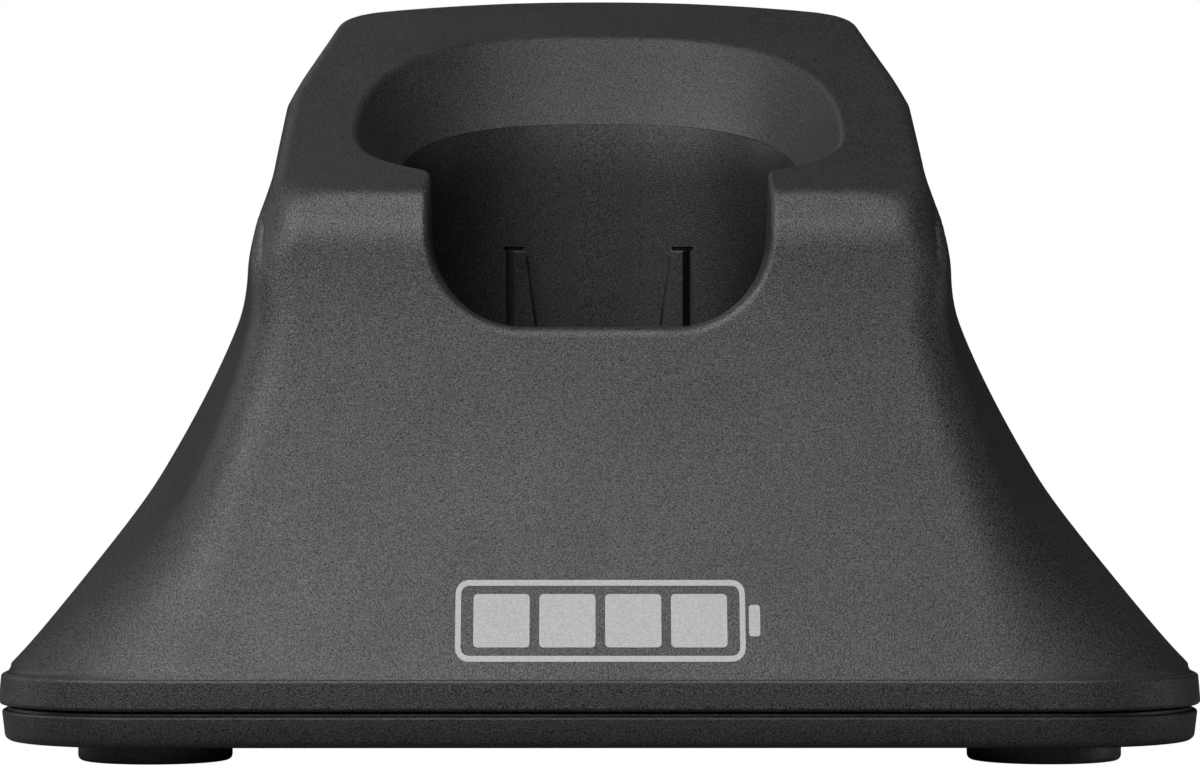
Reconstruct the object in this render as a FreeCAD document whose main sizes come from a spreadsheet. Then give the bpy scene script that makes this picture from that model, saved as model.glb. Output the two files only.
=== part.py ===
import FreeCAD, Part
import math
import os
import re

import Sketcher

# Charging stand for a cordless hair clipper, in millimetres.
# X runs to the right, Y to the back and Z up. The origin is the middle of the
# footprint on the plane that the rubber feet rest on.

DOC = FreeCAD.newDocument("ChargingStand")
SHEET = DOC.addObject("Spreadsheet::Sheet", "Sizes")

SIZES = {
    # footprint and levels
    "base_width": 120.0,
    "base_depth": 105.0,
    "base_corner": 14.5,
    "foot_height": 2.3,
    "tray_height": 3.1,
    "tray_inset": 0.4,
    "seam_gap": 0.5,
    "flange_height": 3.1,
    "flange_step": 0.8,
    # housing
    "crease_height": 57.5,
    "crease_inset": 22.0,
    "chamfer_drop": 3.7,
    "chamfer_run": 2.8,
    "top_slope": 19.8,
    "shoulder_half_width": 34.6,
    "shoulder_back_inset": 11.0,
    "shoulder_corner": 5.0,
    "crown_height": 82.5,
    "crown_half_width": 28.5,
    "crown_back_inset": 15.6,
    "crown_corner": 13.0,
    "flare_power": 1.47,
    "wall": 2.2,
    # mouth, flare band and notch
    "mouth_half_width": 25.6,
    "mouth_front": 26.7,
    "mouth_back": 23.3,
    "mouth_front_corner": 14.0,
    "mouth_back_corner": 22.0,
    "flare_depth": 6.9,
    "well_half_width": 21.5,
    "well_front": 24.5,
    "well_back": 13.5,
    "well_corner": 15.0,
    "notch_half_width": 17.3,
    "notch_bottom": 43.5,
    "notch_corner": 9.8,
    "notch_collar": 1.6,
    # cup
    "cup_wall": 1.8,
    "cup_floor": 26.0,
    "cup_floor_thickness": 3.0,
    "rib_top": 52.3,
    "rib_outer": 9.7,
    "rib_top_width": 1.4,
    "rib_foot_width": 5.2,
    "rib_depth": 1.4,
    "ear_drop": 11.5,
    "ear_thickness": 2.0,
    "ear_width": 8.0,
    "ear_side_gap": 1.0,
    "ear_side_set": 10.5,
    "ear_back_spot": 21.5,
    "cup_boss_radius": 3.0,
    # tray
    "tray_floor": 2.0,
    "tongue_gap": 0.4,
    "tongue_wall": 1.4,
    "tongue_height": 2.0,
    "base_boss_radius": 3.5,
    "base_screw_x": 46.0,
    "base_screw_y": 15.0,
    # feet
    "foot_radius": 7.75,
    "foot_collar_radius": 6.9,
    "foot_collar_height": 0.5,
    "foot_rim_round": 0.5,
    "foot_stem_radius": 2.5,
    "foot_head_radius": 3.3,
    "foot_head_height": 1.0,
    "foot_inset_x": 15.3,
    "foot_inset_y": 17.6,
    # fasteners
    "screw_radius": 1.4,
    "screw_head_radius": 2.8,
    "screw_head_height": 1.2,
    "small_screw_radius": 1.1,
    "small_head_radius": 2.2,
    "small_head_height": 1.4,
    "slot_width": 0.7,
    "slot_depth": 0.6,
    "hole_gap": 0.15,
    "over": 1.0,
    "board_pilot": 5.0,
    "ballast_pilot": 3.5,
    "block_screw_bite": 2.5,
    "thread_gap": 0.05,
    "thread_grip": 8.0,
    "tip_room": 1.0,
    # ballast
    "ballast_length": 74.0,
    "ballast_width": 20.0,
    "ballast_thickness": 3.0,
    "ballast_set": 37.0,
    "ballast_screw_x": 28.0,
    "post_radius": 2.5,
    # contacts
    "contact_spacing": 10.0,
    "contact_set": 5.5,
    "pin_radius": 1.0,
    "pin_stand": 2.6,
    "collar_radius": 1.4,
    "collar_height": 1.5,
    "nub_radius": 0.6,
    "nub_height": 1.4,
    "barrel_radius": 2.0,
    "barrel_bore": 1.5,
    "barrel_length": 10.6,
    "barrel_lip": 1.0,
    "barrel_base": 0.6,
    "tail_radius": 0.6,
    "tail_length": 3.0,
    "run_gap": 0.06,
    "barrel_drop": 0.4,
    "collar_gap": 0.1,
    "wire_radius": 0.14,
    "coil_radius": 1.0,
    "coil_pitch": 1.1,
    "block_width": 12.0,
    "block_height": 10.0,
    "block_screw_step": 5.0,
    "block_end": 3.0,
    # board
    "board_length": 52.0,
    "board_width": 36.0,
    "board_thickness": 1.6,
    "board_set": 21.0,
    "board_height": 10.0,
    "board_screw_x": 22.0,
    "board_screw_y": 14.0,
    "capacitor_radius": 4.0,
    "capacitor_height": 11.0,
    "inductor_radius": 4.5,
    "inductor_height": 5.0,
    "chip_length": 6.0,
    "chip_width": 5.0,
    "chip_height": 1.6,
    "chip_shift": 2.0,
    "inductor_web": 1.0,
    "diode_length": 2.6,
    "diode_width": 1.4,
    "diode_height": 1.1,
    "diode_pitch": 3.4,
    "plug_edge": 1.5,
    "plug_length": 9.0,
    "plug_width": 6.0,
    "plug_height": 5.0,
    "lead_radius": 0.6,
    "lead_spacing": 5.0,
    "lead_drop": 2.8,
    # inlet
    "jack_length": 14.0,
    "jack_width": 9.2,
    "jack_body_height": 11.0,
    "jack_face": 47.5,
    "jack_nose_radius": 4.0,
    "jack_nose_length": 5.5,
    "jack_bore": 2.85,
    "jack_bore_depth": 9.5,
    "jack_pin_radius": 1.0,
    "jack_pin_length": 8.5,
    "port_gap": 0.3,
    "port_ring": 2.2,
    "port_wall": 1.6,
    "port_step": 0.4,
    "port_depth": 3.0,
}

# Places that follow from the sizes above, held as bound properties.
LEVELS = {
    "half_width": "base_width / 2",
    "half_depth": "base_depth / 2",
    "tray_bottom": "foot_height",
    "tray_inside": "foot_height + tray_floor",
    "flange_bottom": "foot_height + tray_height + seam_gap",
    "flange_top": "foot_height + tray_height + seam_gap + flange_height",
    "crease_y": "base_depth / 2 - crease_inset",
    "top_middle": "crease_height + (base_depth / 2 - crease_inset) * tan(top_slope * 1deg)",
    "slope_cos": "cos(top_slope * 1deg)",
    "slope_sin": "sin(top_slope * 1deg)",
    "cup_underside": "cup_floor - cup_floor_thickness",
    "ear_height": "crease_height - ear_drop",
    "ear_top": "crease_height - ear_drop + ear_thickness",
    "ear_side_spot": "shoulder_half_width - wall - ear_side_gap - ear_width / 2",
    "foot_x": "base_width / 2 - foot_inset_x",
    "foot_y": "base_depth / 2 - foot_inset_y",
    "block_screw_x": "contact_spacing / 2 + block_screw_step",
    "block_length": "contact_spacing + 2 * (block_screw_step + block_end)",
    "block_bottom": "cup_floor - cup_floor_thickness - block_height",
    "board_top": "board_height + board_thickness",
    "jack_axis": "board_height + board_thickness + jack_body_height / 2",
    "jack_back": "jack_face - jack_nose_length",
    "ballast_top": "foot_height + tray_floor + ballast_thickness",
    "barrel_top": "cup_floor - cup_floor_thickness - barrel_drop",
    "collar_top": "cup_floor - cup_floor_thickness - barrel_drop - barrel_lip - collar_gap",
}

BIG = 300.0
SCREW_HOLE = "small_screw_radius + hole_gap"
SCREW_PILOT = "small_screw_radius + thread_gap"
FOOT_HOLE = "foot_stem_radius + hole_gap"


def fill_sheet():
    for row, (alias, number) in enumerate(SIZES.items(), start=1):
        SHEET.set(f"A{row}", alias)
        SHEET.set(f"B{row}", str(number))
        SHEET.setAlias(f"B{row}", alias)
    DOC.recompute()


def full(expression):
    """Point the plain names in an expression at the sheet and at the derived places."""

    def swap(found):
        word = found.group(0)
        if word in SIZES:
            return f"Sizes.{word}"
        if word in LEVELS:
            return f"Places.{word}"
        return word

    return re.sub(r"[a-z_]+\b(?!\()", swap, str(expression))


def fill_places():
    for name, expression in LEVELS.items():
        PLACES.addProperty("App::PropertyFloat", name)
        PLACES.setExpression(name, full(expression))
    PLACES.addProperty("App::PropertyFloat", "trial")
    DOC.recompute()


def number(expression):
    """The value of an expression now."""
    PLACES.setExpression("trial", full(expression))
    PLACES.recompute()
    return float(PLACES.trial)


def bind(thing, **sizes):
    for name, expression in sizes.items():
        thing.setExpression(name, full(expression))


def place(thing, x=0, y=0, z=0):
    for axis, expression in zip("xyz", (x, y, z)):
        thing.setExpression(f".Placement.Base.{axis}", full(expression))
    return thing


def turn(thing, axis, angle):
    base = thing.Placement.Base
    thing.Placement = FreeCAD.Placement(base, FreeCAD.Rotation(FreeCAD.Vector(*axis), angle))
    return thing


fill_sheet()
PLACES = DOC.addObject("App::FeaturePython", "Places")
fill_places()


# ---- plain solids and booleans ----------------------------------------------


def box(name, size, x=0, y=0, z=0):
    """A box centred on x and y, standing on z."""
    made = DOC.addObject("Part::Box", name)
    length, width, height = size
    bind(made, Length=length, Width=width, Height=height)
    return place(made, f"({x}) - ({length}) / 2", f"({y}) - ({width}) / 2", z)


def cylinder(name, radius, height, x=0, y=0, z=0):
    made = DOC.addObject("Part::Cylinder", name)
    bind(made, Radius=radius, Height=height)
    return place(made, x, y, z)


def lying_cylinder(name, radius, length, x, y, z):
    """A cylinder whose axis runs from y towards the back."""
    made = cylinder(name, radius, length)
    turn(made, (1, 0, 0), -90)
    return place(made, x, y, z)


def fuse(name, *pieces):
    made = DOC.addObject("Part::MultiFuse", name)
    made.Shapes = list(pieces)
    made.Refine = True
    return made


def cut(name, base, *tools):
    made = DOC.addObject("Part::Cut", name)
    made.Base = base
    made.Tool = tools[0] if len(tools) == 1 else fuse(f"{name}_tools", *tools)
    return made


def common(name, one, other):
    made = DOC.addObject("Part::Common", name)
    made.Base = one
    made.Tool = other
    return made


def group(name, pieces):
    made = DOC.addObject("Part::Compound", name)
    made.Links = list(pieces)
    return made


# ---- sketches ----------------------------------------------------------------


def rounded_outline(sketch, half_width, front, back, front_corner, back_corner):
    """A closed rectangle with rounded corners, symmetric about the sketch's vertical axis.

    front and back are the distances from the origin to the two cross edges."""
    w = number(half_width)
    f = number(front)
    b = number(back)
    p = number(front_corner)
    q = number(back_corner)

    def line(x0, y0, x1, y1):
        return Part.LineSegment(FreeCAD.Vector(x0, y0, 0), FreeCAD.Vector(x1, y1, 0))

    def arc(x, y, radius, start):
        circle = Part.Circle(FreeCAD.Vector(x, y, 0), FreeCAD.Vector(0, 0, 1), radius)
        return Part.ArcOfCircle(circle, math.radians(start), math.radians(start + 90))

    sketch.addGeometry(
        [
            line(p - w, -f, w - p, -f),
            arc(w - p, p - f, p, -90),
            line(w, p - f, w, b - q),
            arc(w - q, b - q, q, 0),
            line(w - q, b, q - w, b),
            arc(q - w, b - q, q, 90),
            line(-w, b - q, -w, p - f),
            arc(p - w, p - f, p, 180),
        ],
        False,
    )
    rules = [Sketcher.Constraint("Tangent", i, 2, (i + 1) % 8, 1) for i in range(8)]
    rules += [Sketcher.Constraint("Horizontal", 0), Sketcher.Constraint("Horizontal", 4)]
    rules += [Sketcher.Constraint("Vertical", 2), Sketcher.Constraint("Vertical", 6)]
    rules += [Sketcher.Constraint("Equal", 1, 7), Sketcher.Constraint("Equal", 3, 5)]
    sketch.addConstraint(rules)
    sizes = [
        ("right", Sketcher.Constraint("DistanceX", -1, 1, 2, 1, w), half_width),
        ("left", Sketcher.Constraint("DistanceX", 6, 1, -1, 1, w), half_width),
        ("front", Sketcher.Constraint("DistanceY", 0, 1, -1, 1, f), front),
        ("back", Sketcher.Constraint("DistanceY", -1, 1, 4, 1, b), back),
        ("front_corner", Sketcher.Constraint("Radius", 1, p), front_corner),
        ("back_corner", Sketcher.Constraint("Radius", 3, q), back_corner),
    ]
    add_sizes(sketch, sizes)


def add_sizes(sketch, sizes):
    for name, rule, expression in sizes:
        index = sketch.addConstraint(rule)
        sketch.renameConstraint(index, name)
        sketch.setExpression(f"Constraints.{name}", full(expression))


def polygon(sketch, corners):
    """A closed polygon through corners, each an (x, y) pair of expressions."""
    spots = [(number(x), number(y)) for x, y in corners]
    count = len(spots)
    for i in range(count):
        start = FreeCAD.Vector(*spots[i], 0)
        end = FreeCAD.Vector(*spots[(i + 1) % count], 0)
        sketch.addGeometry(Part.LineSegment(start, end), False)
    for i in range(count):
        sketch.addConstraint(Sketcher.Constraint("Coincident", i, 2, (i + 1) % count, 1))
    for i in range(count):
        for kind, axis, want in (("DistanceX", -2, 0), ("DistanceY", -1, 1)):
            value = spots[i][want]
            if abs(value) < 1e-9:
                sketch.addConstraint(Sketcher.Constraint("PointOnObject", i, 1, axis))
            elif value > 0:
                rule = Sketcher.Constraint(kind, -1, 1, i, 1, value)
                add_sizes(sketch, [(f"{kind}_{i}", rule, corners[i][want])])
            else:
                rule = Sketcher.Constraint(kind, i, 1, -1, 1, -value)
                add_sizes(sketch, [(f"{kind}_{i}", rule, f"-({corners[i][want]})")])


def body_sketch(body, name, role):
    """A sketch on one of the body's own origin planes."""
    sketch = body.newObject("Sketcher::SketchObject", name)
    plane = [item for item in body.Origin.OriginFeatures if item.Role == role][0]
    sketch.AttachmentSupport = [(plane, "")]
    sketch.MapMode = "FlatFace"
    return sketch


def turned_body(name, corners, x=0, y=0, z=0):
    """A body of revolution about its own vertical axis, from a half section."""
    body = DOC.addObject("PartDesign::Body", name)
    sketch = body_sketch(body, f"{name}_section", "XZ_Plane")
    polygon(sketch, corners)
    turned = body.newObject("PartDesign::Revolution", f"{name}_turned")
    turned.Profile = sketch
    turned.ReferenceAxis = (sketch, ["V_Axis"])
    turned.Angle = 360
    body.Tip = turned
    return place(body, x, y, z)


def free_outline(name, outline, z):
    """A rounded outline on a level plane."""
    sketch = DOC.addObject("Sketcher::SketchObject", name)
    rounded_outline(sketch, *outline)
    return place(sketch, 0, 0, z)


def sloped_outline(name, outline, drop):
    """The same outline seen from above, on the top face's plane lowered by drop."""
    half_width, front, back, front_corner, back_corner = outline
    sketch = DOC.addObject("Sketcher::SketchObject", name)
    spread = (f"({front}) / slope_cos", f"({back}) / slope_cos")
    rounded_outline(sketch, half_width, *spread, front_corner, back_corner)
    turn(sketch, (1, 0, 0), SIZES["top_slope"])
    sketch.setExpression(".Placement.Rotation.Angle", full("top_slope * 1deg"))
    return place(sketch, 0, 0, f"top_middle - ({drop})")


def extrude(name, outline, direction, length):
    made = DOC.addObject("Part::Extrusion", name)
    made.Base = outline
    made.DirMode = "Custom"
    made.Dir = FreeCAD.Vector(*direction)
    bind(made, LengthFwd=length)
    made.Solid = True
    return made


def prism(name, outline, z, height):
    return extrude(name, free_outline(f"{name}_outline", outline, z), (0, 0, 1), height)


def loft(name, sections, ruled=False):
    made = DOC.addObject("Part::Loft", name)
    made.Sections = sections
    made.Solid = True
    made.Ruled = ruled
    return made


def above_slope(name, drop):
    """Everything above the top face's plane lowered by drop."""
    made = DOC.addObject("Part::Box", name)
    made.Length = BIG
    made.Width = BIG
    made.Height = BIG
    turn(made, (1, 0, 0), SIZES["top_slope"])
    made.setExpression(".Placement.Rotation.Angle", full("top_slope * 1deg"))
    half = BIG / 2
    return place(made, -half, f"-{half} * slope_cos", f"top_middle - ({drop}) - {half} * slope_sin")


# ---- fasteners ---------------------------------------------------------------


def screw(name, radius, head_radius, head_height, length, x, y, z, down=False):
    """A cross-recess screw. The head seats at z and the shank points up, or down."""
    head_z = z if down else f"{z} - ({head_height})"
    shank_z = f"{z} - ({length})" if down else z
    recess_z = f"{z} + {head_height} - slot_depth" if down else head_z
    head = cylinder(f"{name}_head", head_radius, head_height, x, y, head_z)
    shank = cylinder(f"{name}_shank", radius, length, x, y, shank_z)
    long_side = f"1.3 * {head_radius}"
    across = box(f"{name}_across", (long_side, "slot_width", "slot_depth"), x, y, recess_z)
    along = box(f"{name}_along", ("slot_width", long_side, "slot_depth"), x, y, recess_z)
    return cut(name, fuse(f"{name}_blank", head, shank), across, along)


def small_screws(name, spots, z, length, down=False):
    sizes = ("small_screw_radius", "small_head_radius", "small_head_height")
    made = [screw(f"{name}_{i}", *sizes, length, x, y, z, down) for i, (x, y) in enumerate(spots)]
    return group(name, made)


# ---- shared outlines and fixing places -----------------------------------------

CUP_SCREWS = (
    ("-ear_side_spot", "-ear_side_set"),
    ("ear_side_spot", "-ear_side_set"),
    ("0", "ear_back_spot"),
)
BASE_SCREWS = [(f"{a} * base_screw_x", f"{b} * base_screw_y") for a in (-1, 1) for b in (-1, 1)]
BOARD_SCREWS = [
    (f"{a} * board_screw_x", f"board_set + {b} * board_screw_y") for a in (-1, 1) for b in (-1, 1)
]
BALLAST_SCREWS = [(f"{a} * ballast_screw_x", "-ballast_set") for a in (-1, 1)]
BLOCK_SCREWS = [(f"{a} * block_screw_x", "-contact_set") for a in (-1, 1)]
FEET = {
    "foot_front_left": ("-foot_x", "-foot_y"),
    "foot_front_right": ("foot_x", "-foot_y"),
    "foot_rear_left": ("-foot_x", "foot_y"),
    "foot_rear_right": ("foot_x", "foot_y"),
}
SIDES = {"left": "-contact_spacing / 2", "right": "contact_spacing / 2"}


def well_outline(grow):
    return (
        f"well_half_width + {grow}",
        f"well_front + {grow}",
        f"well_back + {grow}",
        f"well_corner + {grow}",
        f"well_corner + {grow}",
    )


def mouth_outline(name, share, grow, drop):
    """An outline between the mouth's rim (share 0) and the top of the well (share 1)."""
    pairs = (
        ("mouth_half_width", "well_half_width"),
        ("mouth_front", "well_front"),
        ("mouth_back", "well_back"),
        ("mouth_front_corner", "well_corner"),
        ("mouth_back_corner", "well_corner"),
    )
    outline = tuple(f"{a} + ({b} - {a}) * {share} + {grow}" for a, b in pairs)
    return sloped_outline(name, outline, drop)


def notch_prism(name, grow, reach):
    """The U-shaped notch as a bar that runs from in front of the stand back to reach."""
    sketch = DOC.addObject("Sketcher::SketchObject", f"{name}_outline")
    corner = f"notch_corner + {grow}"
    depth = f"crease_height - notch_bottom + {grow}"
    rounded_outline(sketch, f"notch_half_width + {grow}", depth, "crown_height", corner, "1")
    turn(sketch, (1, 0, 0), 90)
    place(sketch, 0, "-base_depth", "crease_height")
    return extrude(name, sketch, (0, 1, 0), f"base_depth + ({reach})")


def cup_block(name, grow):
    """The cup's outer form, up to where the flare band meets it."""
    bar = prism(f"{name}_bar", well_outline(grow), "cup_underside", "crown_height")
    return cut(name, bar, above_slope(f"{name}_top", "flare_depth"))


# ---- housing -----------------------------------------------------------------

# Shares of the way from the flange (0) up to the crease (1) where a section is drawn.
FLARE_STATIONS = (0.0, 0.08, 0.2, 0.36, 0.54, 0.74, 1.0)


def housing_form(name, inset):
    """The flared walls and the crown above them, all moved inwards by inset."""
    sections = []
    for i, share in enumerate(FLARE_STATIONS):
        spread = f"{round(1 - share, 3)} ^ flare_power"
        corner = f"shoulder_corner + (base_corner - flange_step - shoulder_corner) * {spread} - {inset}"
        front_move = "(crease_inset - chamfer_run - flange_step)"
        back_move = "(shoulder_back_inset - flange_step)"
        side_move = "(half_width - flange_step - shoulder_half_width)"
        outline = (
            f"shoulder_half_width + {side_move} * {spread} - {inset}",
            f"half_depth - flange_step - {front_move} * (1 - {spread}) - {inset}",
            f"half_depth - flange_step - {back_move} * (1 - {spread}) - {inset}",
            corner,
            corner,
        )
        z = f"flange_top + {share} * (crease_height - flange_top)"
        sections.append(free_outline(f"{name}_section_{i}", outline, z))
    crown = (
        f"crown_half_width - {inset}",
        f"half_depth - crease_inset + chamfer_run - {inset}",
        f"half_depth - crown_back_inset - {inset}",
        f"shoulder_corner - {inset}",
        f"crown_corner - {inset}",
    )
    top = free_outline(f"{name}_section_crown", crown, "crown_height")
    lower = loft(f"{name}_flare", sections)
    upper = loft(f"{name}_crown", [sections[-1], top], ruled=True)
    return lower, upper


def crease_chamfer():
    """The space in front of the chamfer that joins the front face to the top face."""
    made = DOC.addObject("Part::Box", "chamfer_space")
    made.Length = BIG
    made.Width = BIG
    made.Height = BIG
    lean = "atan(chamfer_drop / chamfer_run)"
    turn(made, (1, 0, 0), 53)
    made.setExpression(".Placement.Rotation.Angle", full(lean))
    half = BIG / 2
    y = f"-crease_y - {half} * cos({lean})"
    return place(made, -half, y, f"crease_height - {half} * sin({lean})")


def top_housing():
    """The moulded shell: flange, flared walls, sloping top, mouth, notch and bosses."""
    flange_plan = ("half_width", "half_depth", "half_depth", "base_corner", "base_corner")
    flange = prism("flange", flange_plan, "flange_bottom", "flange_height")
    outside = fuse("outside", flange, *housing_form("outer", "0"))
    envelope = cut("envelope", outside, above_slope("over_top", "0"), crease_chamfer())

    skirt_inset = "(flange_step + wall)"
    skirt_plan = (
        f"half_width - {skirt_inset}",
        f"half_depth - {skirt_inset}",
        f"half_depth - {skirt_inset}",
        f"base_corner - {skirt_inset}",
        f"base_corner - {skirt_inset}",
    )
    skirt = prism("skirt_inside", skirt_plan, "flange_bottom - 1", "flange_height + 1")
    inside = fuse("inside", skirt, *housing_form("inner", "wall"))
    hollow = cut("hollow", inside, above_slope("over_hollow", "wall / slope_cos"))
    shell = cut("shell", envelope, hollow)

    funnel = loft(
        "funnel",
        [
            mouth_outline("funnel_rim", "0", "wall", "wall / 2"),
            mouth_outline("funnel_foot", "1", "cup_wall", "flare_depth"),
        ],
        ruled=True,
    )
    cup_bosses = [
        cylinder(f"cup_boss_{i}", "cup_boss_radius", "crown_height", x, y, "ear_top")
        for i, (x, y) in enumerate(CUP_SCREWS)
    ]
    base_bosses = [
        cylinder(f"base_boss_{i}", "base_boss_radius", "crease_height", x, y, "flange_bottom")
        for i, (x, y) in enumerate(BASE_SCREWS)
    ]
    boss_feet = [
        cylinder(f"boss_foot_{i}", "base_boss_radius", "flange_top - tray_inside", x, y, "tray_inside")
        for i, (x, y) in enumerate(BASE_SCREWS)
    ]
    port_radius = "jack_nose_radius + port_gap + port_ring"
    port = lying_cylinder(
        "port_boss", f"{port_radius} + port_wall", BIG, "0", "jack_face - port_depth", "jack_axis"
    )
    collar = notch_prism("collar", "notch_collar", "-contact_set - well_front / 2")
    extras = fuse("extras", collar, port, *cup_bosses, *base_bosses)
    solid = fuse("housing_solid", shell, funnel, common("kept", extras, envelope), *boss_feet)

    mouth = loft(
        "mouth",
        [
            mouth_outline("mouth_over", "-0.2", "0", "-0.2 * flare_depth"),
            mouth_outline("mouth_foot", "1", "0", "flare_depth"),
        ],
        ruled=True,
    )
    pilots = [
        cylinder(f"cup_pilot_{i}", "small_screw_radius + thread_gap", "thread_grip", x, y, "ear_top")
        for i, (x, y) in enumerate(CUP_SCREWS)
    ]
    pilots += [
        cylinder(f"base_pilot_{i}", "screw_radius + thread_gap", "thread_grip", x, y, "tray_inside")
        for i, (x, y) in enumerate(BASE_SCREWS)
    ]
    hole = lying_cylinder("port_hole", "jack_nose_radius + port_gap", BIG, "0", "0", "jack_axis")
    recess = lying_cylinder("port_recess", port_radius, BIG, "0", "jack_face + port_step", "jack_axis")
    notch = notch_prism("housing_notch", "0", "-contact_set")
    room = cup_block("cup_room", "(cup_wall + run_gap)")
    return cut("top_housing", solid, mouth, room, notch, hole, recess, *pilots)


# ---- cup ---------------------------------------------------------------------


def rib(name, side):
    """A guide rib on the cup's back wall: upright outer side, inner side widening downwards."""
    made = DOC.addObject("Part::Wedge", name)
    foot = "rib_outer - rib_foot_width"
    head = "rib_outer - rib_top_width"
    if side > 0:
        bind(made, Xmin=foot, Xmax="rib_outer", X2min=head, X2max="rib_outer")
    else:
        bind(made, Xmin="-rib_outer", Xmax=f"-({foot})", X2min="-rib_outer", X2max=f"-({head})")
    height = "rib_top - cup_floor + cup_floor_thickness / 2"
    bind(made, Ymin="0", Ymax=height, Zmin="-cup_wall / 2", Zmax="rib_depth")
    bind(made, Z2min="-cup_wall / 2", Z2max="rib_depth")
    turn(made, (1, 0, 0), 90)
    return place(made, 0, "well_back", "cup_floor - cup_floor_thickness / 2")


def dock_cup():
    """The inner well that the clipper stands in, with guide ribs, ears and contact holes."""
    well = prism("well_space", well_outline("0"), "cup_floor", "crown_height")
    reach = "(ear_side_spot + ear_width / 2 - well_half_width)"
    ears = [
        box(
            f"side_ear_{i}",
            (reach, "ear_width", "ear_thickness"),
            f"{sign} * (well_half_width + {reach} / 2)",
            "-ear_side_set",
            "ear_height",
        )
        for i, sign in enumerate((-1, 1))
    ]
    reach = "(ear_back_spot + ear_width / 2 - well_back)"
    size = ("ear_width", reach, "ear_thickness")
    ears.append(box("back_ear", size, "0", f"well_back + {reach} / 2", "ear_height"))
    outer = fuse("cup_outside", cup_block("cup_form", "cup_wall"), *ears)
    hollow = cut("cup_hollow", outer, well)
    solid = fuse("cup_solid", hollow, rib("rib_left", -1), rib("rib_right", 1))
    holes = [
        cylinder(f"ear_hole_{i}", SCREW_HOLE, "ear_thickness + 2 * over", x, y, "ear_height - over")
        for i, (x, y) in enumerate(CUP_SCREWS)
    ]
    holes += [
        cylinder(
            f"pin_hole_{side}",
            "pin_radius + 2 * hole_gap",
            "cup_floor",
            x,
            "-contact_set",
            "cup_underside - over",
        )
        for side, x in SIDES.items()
    ]
    holes += [
        cylinder(f"block_pilot_{i}", SCREW_PILOT, "block_screw_bite", x, y, "cup_underside - over / 2")
        for i, (x, y) in enumerate(BLOCK_SCREWS)
    ]
    return cut("dock_cup", solid, notch_prism("cup_notch", "0", "-contact_set"), *holes)


# ---- charging contacts -----------------------------------------------------------


def contact_block():
    size = ("block_length", "block_width", "block_height")
    blank = box("block_blank", size, "0", "-contact_set", "block_bottom")
    bores = [
        cylinder(
            f"barrel_hole_{side}",
            "barrel_radius + thread_gap",
            "block_height + 2 * over",
            x,
            "-contact_set",
            "block_bottom - over",
        )
        for side, x in SIDES.items()
    ]
    bores += [
        cylinder(f"block_hole_{i}", SCREW_HOLE, "block_height + 2 * over", x, y, "block_bottom - over")
        for i, (x, y) in enumerate(BLOCK_SCREWS)
    ]
    return cut("contact_block", blank, *bores)


def contact_barrel(side, x):
    """A closed brass tube with a soldering tail; its lip keeps the plunger in."""
    corners = [
        ("0", "-barrel_length - tail_length"),
        ("tail_radius", "-barrel_length - tail_length"),
        ("tail_radius", "-barrel_length"),
        ("barrel_radius", "-barrel_length"),
        ("barrel_radius", "0"),
        ("pin_radius + run_gap", "0"),
        ("pin_radius + run_gap", "-barrel_lip"),
        ("barrel_bore", "-barrel_lip"),
        ("barrel_bore", "-barrel_length + barrel_base"),
        ("0", "-barrel_length + barrel_base"),
    ]
    return turned_body(f"contact_barrel_{side}", corners, x, "-contact_set", "barrel_top")


def contact_pin(side, x):
    """The plunger: domed tip, retaining collar and a nub that centres the spring."""
    tip = "(cup_floor + pin_stand - collar_top)"
    corners = [
        ("0", "-collar_height - nub_height"),
        ("nub_radius", "-collar_height - nub_height"),
        ("nub_radius", "-collar_height"),
        ("collar_radius", "-collar_height"),
        ("collar_radius", "0"),
        ("pin_radius", "0"),
        ("pin_radius", f"{tip} - 0.6 * pin_radius"),
        ("0.8 * pin_radius", f"{tip} - 0.25 * pin_radius"),
        ("0.4 * pin_radius", tip),
        ("0", tip),
    ]
    return turned_body(f"contact_pin_{side}", corners, x, "-contact_set", "collar_top")


def contact_spring(side, x):
    """A round-wire compression spring between the barrel's base and the collar."""
    helix = DOC.addObject("Part::Helix", f"coil_path_{side}")
    rest = "(collar_top - collar_height - (barrel_top - barrel_length + barrel_base))"
    bind(helix, Pitch="coil_pitch", Radius="coil_radius")
    bind(helix, Height=f"{rest} - 2 * wire_radius - 4 * run_gap")
    ring = DOC.addObject("Part::Circle", f"coil_wire_{side}")
    bind(ring, Radius="wire_radius")
    turn(ring, (1, 0, 0), 90)
    place(ring, "coil_radius", 0, 0)
    coil = DOC.addObject("Part::Sweep", f"contact_spring_{side}")
    coil.Sections = [ring]
    coil.Spine = (helix, ["Edge1"])
    coil.Solid = True
    coil.Frenet = True
    start = "barrel_top - barrel_length + barrel_base + wire_radius + 2 * run_gap"
    return place(coil, x, "-contact_set", start)


# ---- tray and feet ----------------------------------------------------------------


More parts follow.
